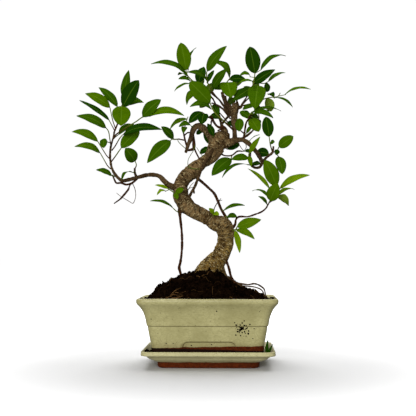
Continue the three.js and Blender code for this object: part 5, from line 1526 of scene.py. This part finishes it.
# Flecks of dried soil on the front of the pot: [across, up, radius] in millimetres.
FLECKS = [
    [38.8, 42, 2], [36.6, 40.2, 1.3], [34, 38.4, 1.1], [31.6, 34.2, 0.9], [39.4, 37.2, 0.9],
    [46.6, 36, 1.2], [48.4, 46.8, 0.9], [42.4, 45.6, 0.8], [8.8, 62.4, 0.9], [-69.2, 52.8, 0.7],
    [-51.2, 24, 0.7], [-42.8, 24, 0.6], [-21.2, 21.6, 0.7], [2.8, 22.8, 0.6], [52, 30, 0.6], [-35, 66, 0.5],
    [-58, 60, 0.5], [60, 62, 0.5],
]

# A splash of smaller flecks: its middle, spread, number and sizes.
SPLASH = (39, 43)
SPLASH_SPREAD = (5.5, 4.5)
SPLASH_FLECKS = 46
SPLASH_SIZES = (0.3, 0.95)

# Specks of soil on the side walls' lip: how far out, between which depths, height, number and sizes.
# The right side has twice as many as the left.
LIP_SIDES = (-1, 1, 1)
LIP_OUT = (69, 78)
LIP_DEPTHS = (-52, -20)
LIP_HEIGHT = 79.8
LIP_SPECKS = 34
LIP_SIZES = (0.4, 1.1)

# A damp clump of soil in the saucer: its middle, its spread each way, number of lumps and sizes.
CLUMP = (-68, -40, 19.5)
CLUMP_SPREAD = [(-3.5, 3), (-6, 5), (-1.5, 1.5)]
CLUMP_LUMPS = 22
CLUMP_SIZES = (0.8, 1.8)

# A lump's roughness, how fine that is beside the lump, and the width of the pattern in which each lump
# takes its own place. Flecks are flatter than lumps.
LUMP_ROUGHNESS = 0.45
LUMP_DETAIL = 1.3
PATTERN_SPAN = 90
FLECK_FLATNESS = 0.35


def rough_lump(place, size, flat, chance):
    """An uneven lump of earth, flattened along Y, with its place and size in millimetres."""
    bm = bmesh.new()
    bmesh.ops.create_icosphere(bm, subdivisions=2, radius=size)
    shift = Vector((chance.uniform(0, PATTERN_SPAN), chance.uniform(0, PATTERN_SPAN), 0))
    for vert in bm.verts:
        vert.co *= 1 + LUMP_ROUGHNESS * noise.noise(vert.co * (LUMP_DETAIL / size) + shift)
        vert.co.y *= flat
        vert.co = (vert.co + place) * MM
    return bm


def make_flecks(wall, earth):
    """Dried soil on the pot's front and lip, and a damp clump of it in the saucer's left end."""
    chance = random.Random(SEED + 3)
    whole = bmesh.new()
    spots = list(FLECKS)
    for _ in range(SPLASH_FLECKS):
        spread = chance.gauss(0, 1), chance.gauss(0, 1)
        across, up = (SPLASH[i] + spread[i] * SPLASH_SPREAD[i] for i in (0, 1))
        spots.append([across, up, chance.uniform(*SPLASH_SIZES)])
    for across, up, size in spots:
        hit = wall.ray_cast(EYE * MM, Vector((across, 0, up)) * MM - EYE * MM)[0]
        add_to(whole, rough_lump(hit / MM, size, FLECK_FLATNESS, chance))
    for _ in range(LIP_SPECKS):
        side = chance.choice(LIP_SIDES)
        place = Vector((side * chance.uniform(*LIP_OUT), chance.uniform(*LIP_DEPTHS), LIP_HEIGHT))
        add_to(whole, rough_lump(place, chance.uniform(*LIP_SIZES), 1, chance))
    for _ in range(CLUMP_LUMPS):
        place = Vector([middle + chance.uniform(*reach) for middle, reach in zip(CLUMP, CLUMP_SPREAD)])
        add_to(whole, rough_lump(place, chance.uniform(*CLUMP_SIZES), 1, chance))
    finished("soil_flecks", whole, [earth], "soil")


# ---------------------------------------------------------------- soil

# The mound, in millimetres: its rise over its edge, its size, how square it is, and the height of its
# edge. The soil climbs a little round the trunk's foot. The mound is fullest on the left and loses
# fullness over the span that starts at the place below.
MOUND_RISE = 31
SOIL_HALF_WIDTH = 72.5
SOIL_HALF_DEPTH = SOIL_HALF_WIDTH - POT_DEPTH_LESS
MOUND_SQUARENESS = 2.4
SOIL_TOP_Z = 78
TRUNK_FOOT = (9, -14)
TRUNK_FOOT_REACH = 17
SOIL_ON_TRUNK = 8
LEFT_FULLNESS = 2.2
FULLNESS_LOST = 1.35
FULLNESS_FALLS_FROM = -20
FULLNESS_FALL_SPAN = 40
CLOD_HEIGHT = 3.6
CLOD_SCALE = 0.17


def mound_height(x, y):
    """The height of the soil's mound over its edge, fuller on the left, in millimetres."""
    across = abs(x / SOIL_HALF_WIDTH) ** MOUND_SQUARENESS
    back = abs(y / SOIL_HALF_DEPTH) ** MOUND_SQUARENESS
    out = min(1, (across + back) ** (1 / MOUND_SQUARENESS))
    lost = soft_step((x - FULLNESS_FALLS_FROM) / FULLNESS_FALL_SPAN)
    fullness = LEFT_FULLNESS - FULLNESS_LOST * lost
    from_trunk = math.hypot(x - TRUNK_FOOT[0], y - TRUNK_FOOT[1])
    on_trunk = SOIL_ON_TRUNK * math.exp(-((from_trunk / TRUNK_FOOT_REACH) ** 2))
    return MOUND_RISE * (1 - out ** fullness) + on_trunk


def soil_surface(x, y):
    """The height of the crumbly surface of the soil, in millimetres."""
    clods = noise.fractal(Vector((x * CLOD_SCALE, y * CLOD_SCALE, 3)), 0.7, 2.1, 5)
    edge = max(abs(x) / SOIL_HALF_WIDTH, abs(y) / SOIL_HALF_DEPTH)
    return SOIL_TOP_Z + mound_height(x, y) + clods * CLOD_HEIGHT * min((1.02 - edge) * 6, 1)


# The soil inside the pot: half width, corner and height of each ring up to the rim. Then the rings of
# the mound, as shares of its size, and the radius that their corners have at most. The surface is
# loose down to LOOSE_DEPTH under the mound's edge.
SOIL_IN_POT = [(55, 8, 20.6), (67, 8, 66), (71.9, 9, 75.6)]
MOUND_SHARES = [0.97, 0.93, 0.88, 0.82, 0.75, 0.67, 0.58, 0.48, 0.37, 0.25]
MOUND_CORNER = 9
SOIL_SIDE_CUTS = 11
LOOSE_DEPTH = 1.2


def make_soil(earth):
    """The soil: a crumbly mound that fills the pot."""
    rings = [(half, half - POT_DEPTH_LESS, corner, height) for half, corner, height in SOIL_IN_POT]
    for share in MOUND_SHARES:
        half_depth = SOIL_HALF_DEPTH * share
        corner = min(MOUND_CORNER, half_depth * 0.7)
        rings.append((SOIL_HALF_WIDTH * share, half_depth, corner, SOIL_TOP_Z))
    bm = rounded_by_subdivision(lofted(rings, SOIL_SIDE_CUTS))
    for vert in bm.verts:
        if vert.co.z > SOIL_TOP_Z - LOOSE_DEPTH:
            vert.co.z = soil_surface(vert.co.x, vert.co.y)
        vert.co.x += POT_SHIFT_X
    into_metres(bm)
    finished("soil_mound", bm, [earth], "soil", "soil")


def on_soil(chance, reach=0.97):
    """A seeded place on the soil's surface, in millimetres."""
    x = chance.uniform(-1, 1) * SOIL_HALF_WIDTH * reach
    y = chance.uniform(-1, 1) * SOIL_HALF_DEPTH * reach
    return Vector((x + POT_SHIFT_X, y, soil_surface(x, y)))


# Loose crumbs: how many, how many of them are large, and the smallest, middling and largest radius.
CRUMBS = 1500
LARGE_CRUMBS = 241
CRUMB_SMALL = 0.5
CRUMB_MIDDLING = 1.7
CRUMB_LARGE = 3
CRUMB_ROUGHNESS = 0.5
CRUMB_STRETCH = [(0.6, 1.5), (0.6, 1.2), (0.4, 1)]


def crumb(number, chance):
    """One loose crumb of soil, turned and stretched by chance, set a little into the surface."""
    small = number >= LARGE_CRUMBS
    sizes = (CRUMB_SMALL, CRUMB_MIDDLING) if small else (CRUMB_MIDDLING, CRUMB_LARGE)
    size = chance.uniform(*sizes)
    bm = bmesh.new()
    bmesh.ops.create_icosphere(bm, subdivisions=1 if size < CRUMB_MIDDLING else 2, radius=size)
    for vert in bm.verts:
        vert.co *= 1 + CRUMB_ROUGHNESS * noise.noise(vert.co / size + Vector((number, 0, 0)))
    turn = Matrix.Rotation(chance.uniform(0, math.tau), 4, (chance.random(), chance.random(), 1))
    stretch = [chance.uniform(*reach) for reach in CRUMB_STRETCH]
    spot = on_soil(chance) + Vector((0, 0, size * 0.1))
    place = Matrix.Scale(MM, 4) @ Matrix.Translation(spot) @ turn @ Matrix.Diagonal((*stretch, 1))
    bmesh.ops.transform(bm, matrix=place, verts=bm.verts)
    return bm


def make_crumbs(earth):
    """Loose crumbs of soil, over the mound and along its edge."""
    chance = random.Random(SEED + 1)
    whole = bmesh.new()
    for number in range(CRUMBS):
        add_to(whole, crumb(number, chance))
    finished("soil_crumbs", whole, [earth], "soil")


# The steps and sides of a fibre, and how far it may reach, in millimetres, so that it stays on the soil.
FIBRE_STEPS = 6
FIBRE_SIDES = 4
FIBRE_X = (-72, 68)
FIBRE_Y = (-46, 46)


def fibre(start, heading, wander, length, radius, chance, luck):
    """A bent root fibre that follows the soil's surface."""
    points = []
    spot = start.copy()
    for step in range(FIBRE_STEPS + 1):
        lift = radius * 0.6 + math.sin(math.pi * step / FIBRE_STEPS)
        ground = soil_surface(spot.x - POT_SHIFT_X, spot.y)
        points.append(Vector((spot.x, spot.y, ground + lift)) * MM)
        heading += chance.uniform(-wander, wander)
        spot += Vector((math.cos(heading), math.sin(heading) * 0.7, 0)) * (length / FIBRE_STEPS)
        spot.x = max(min(spot.x, FIBRE_X[1]), FIBRE_X[0])
        spot.y = max(min(spot.y, FIBRE_Y[1]), FIBRE_Y[0])
    route = smooth_route(points, 2)
    last = len(route) - 1
    radii = [radius * MM * (1 - 0.6 * abs(2 * i / last - 1)) for i in range(len(route))]
    bm, layers = tube(route, radii, FIBRE_SIDES)
    for vert in bm.verts:
        vert[layers["luck"]] = luck
    return bm


# Fibres over the whole mound: how many, and their lengths and radii in millimetres. Then those that
# lie along the front left of the rim: how many, where they start, their lengths and their radius.
# Luck runs from dark to straw.
FIBRES = 170
FIBRE_LENGTHS = (6, 22)
FIBRE_RADII = (0.2, 0.5)
FIBRE_WANDER = 0.6
FIBRE_MOST_LUCK = 0.7
RIM_FIBRES = 16
RIM_FIBRE_X = (-66, -42)
RIM_FIBRE_Y = (-46.5, -40)
RIM_FIBRE_LENGTHS = (10, 26)
RIM_FIBRE_RADIUS = 0.45
RIM_FIBRE_WANDER = 0.15
RIM_FIBRE_LUCK = (0.2, 0.75)


def make_fibres():
    """Root fibres and shreds over the soil."""
    chance = random.Random(SEED + 2)
    whole = bmesh.new()
    for _ in range(FIBRES):
        length = chance.uniform(*FIBRE_LENGTHS)
        radius = chance.uniform(*FIBRE_RADII)
        luck = FIBRE_MOST_LUCK * chance.random() ** 3
        start = on_soil(chance)
        heading = chance.uniform(0, math.tau)
        add_to(whole, fibre(start, heading, FIBRE_WANDER, length, radius, chance, luck))
    for _ in range(RIM_FIBRES):
        start = Vector((chance.uniform(*RIM_FIBRE_X), chance.uniform(*RIM_FIBRE_Y), 0))
        length = chance.uniform(*RIM_FIBRE_LENGTHS)
        luck = chance.uniform(*RIM_FIBRE_LUCK)
        heading = chance.uniform(-RIM_FIBRE_WANDER, RIM_FIBRE_WANDER)
        add_to(whole, fibre(start, heading, RIM_FIBRE_WANDER, length, RIM_FIBRE_RADIUS, chance, luck))
    finished("root_fibres", whole, [fibre_finish()], "soil")


# ---------------------------------------------------------------- scene

# The camera's turn to the left and its tilt up from level, and its lens in millimetres.
CAMERA_YAW = math.radians(1.58)
CAMERA_PITCH = math.radians(3.44)
CAMERA_LENS = 69.06

# The studio, in metres, and the strength of its even light.
FLOOR_HALF_WIDTH = 3
DOME_RADIUS = 6
WORLD_LIGHT = 0.25

# The softboxes, in metres and watts: name, place, the place it is aimed at, width and power.
SOFTBOXES = [
    ("overhead softbox", (0, 0.45, 1.0), (0, 0, 0.05), 1.3, 18),
    ("front softbox", (-0.35, -1.8, 0.4), (0, 0, 0.18), 1.0, 30),
]


def staged(name, bm, material):
    """A piece of the studio, which isn't part of the object. It lights and shades nothing."""
    piece = linked(name, bm)
    piece.data.materials.append(material)
    piece.visible_diffuse = False
    piece.visible_glossy = False
    piece.visible_shadow = False


def make_floor():
    """A pale floor, and a white dome round it."""
    floor = bmesh.new()
    bmesh.ops.create_grid(floor, x_segments=4, y_segments=4, size=FLOOR_HALF_WIDTH)
    staged("floor", floor, floor_finish())
    dome = bmesh.new()
    bmesh.ops.create_icosphere(dome, subdivisions=3, radius=DOME_RADIUS)
    white = Finish(
        "white dome", Emission_Strength=1.0, Emission_Color=(1, 1, 1, 1), Base_Color=(0, 0, 0, 1)
    )
    staged("dome", dome, white.material)


def softbox(name, place, aim, size, power):
    data = bpy.data.lights.new(name, "AREA")
    data.shape = "SQUARE"
    data.size = size
    data.energy = power
    light = bpy.data.objects.new(name, data)
    light.location = place
    light.rotation_euler = (Vector(aim) - Vector(place)).to_track_quat("-Z", "Y").to_euler()
    bpy.context.scene.collection.objects.link(light)


def make_lights():
    """Even light from all sides, and the softboxes."""
    world = bpy.data.worlds.new("studio")
    world.use_nodes = True
    background = world.node_tree.nodes["Background"]
    background.inputs["Color"].default_value = (1, 1, 1, 1)
    background.inputs["Strength"].default_value = WORLD_LIGHT
    bpy.context.scene.world = world
    for box in SOFTBOXES:
        softbox(*box)
    bpy.context.scene.view_settings.view_transform = "Standard"


def make_camera():
    """The camera, at the eye that the tree is described from."""
    data = bpy.data.cameras.new("camera")
    data.lens = CAMERA_LENS
    camera = bpy.data.objects.new("camera", data)
    camera.location = EYE * MM
    forward = Vector((
        -math.sin(CAMERA_YAW) * math.cos(CAMERA_PITCH),
        math.cos(CAMERA_YAW) * math.cos(CAMERA_PITCH),
        math.sin(CAMERA_PITCH),
    ))
    camera.rotation_euler = forward.to_track_quat("-Z", "Y").to_euler()
    bpy.context.scene.collection.objects.link(camera)
    bpy.context.scene.camera = camera


make_camera()
make_lights()
make_floor()
earth = soil_finish()
make_flecks(make_pot(), earth)
make_saucer()
make_soil(earth)
make_crumbs(earth)
make_fibres()
make_wood()
make_shoots()
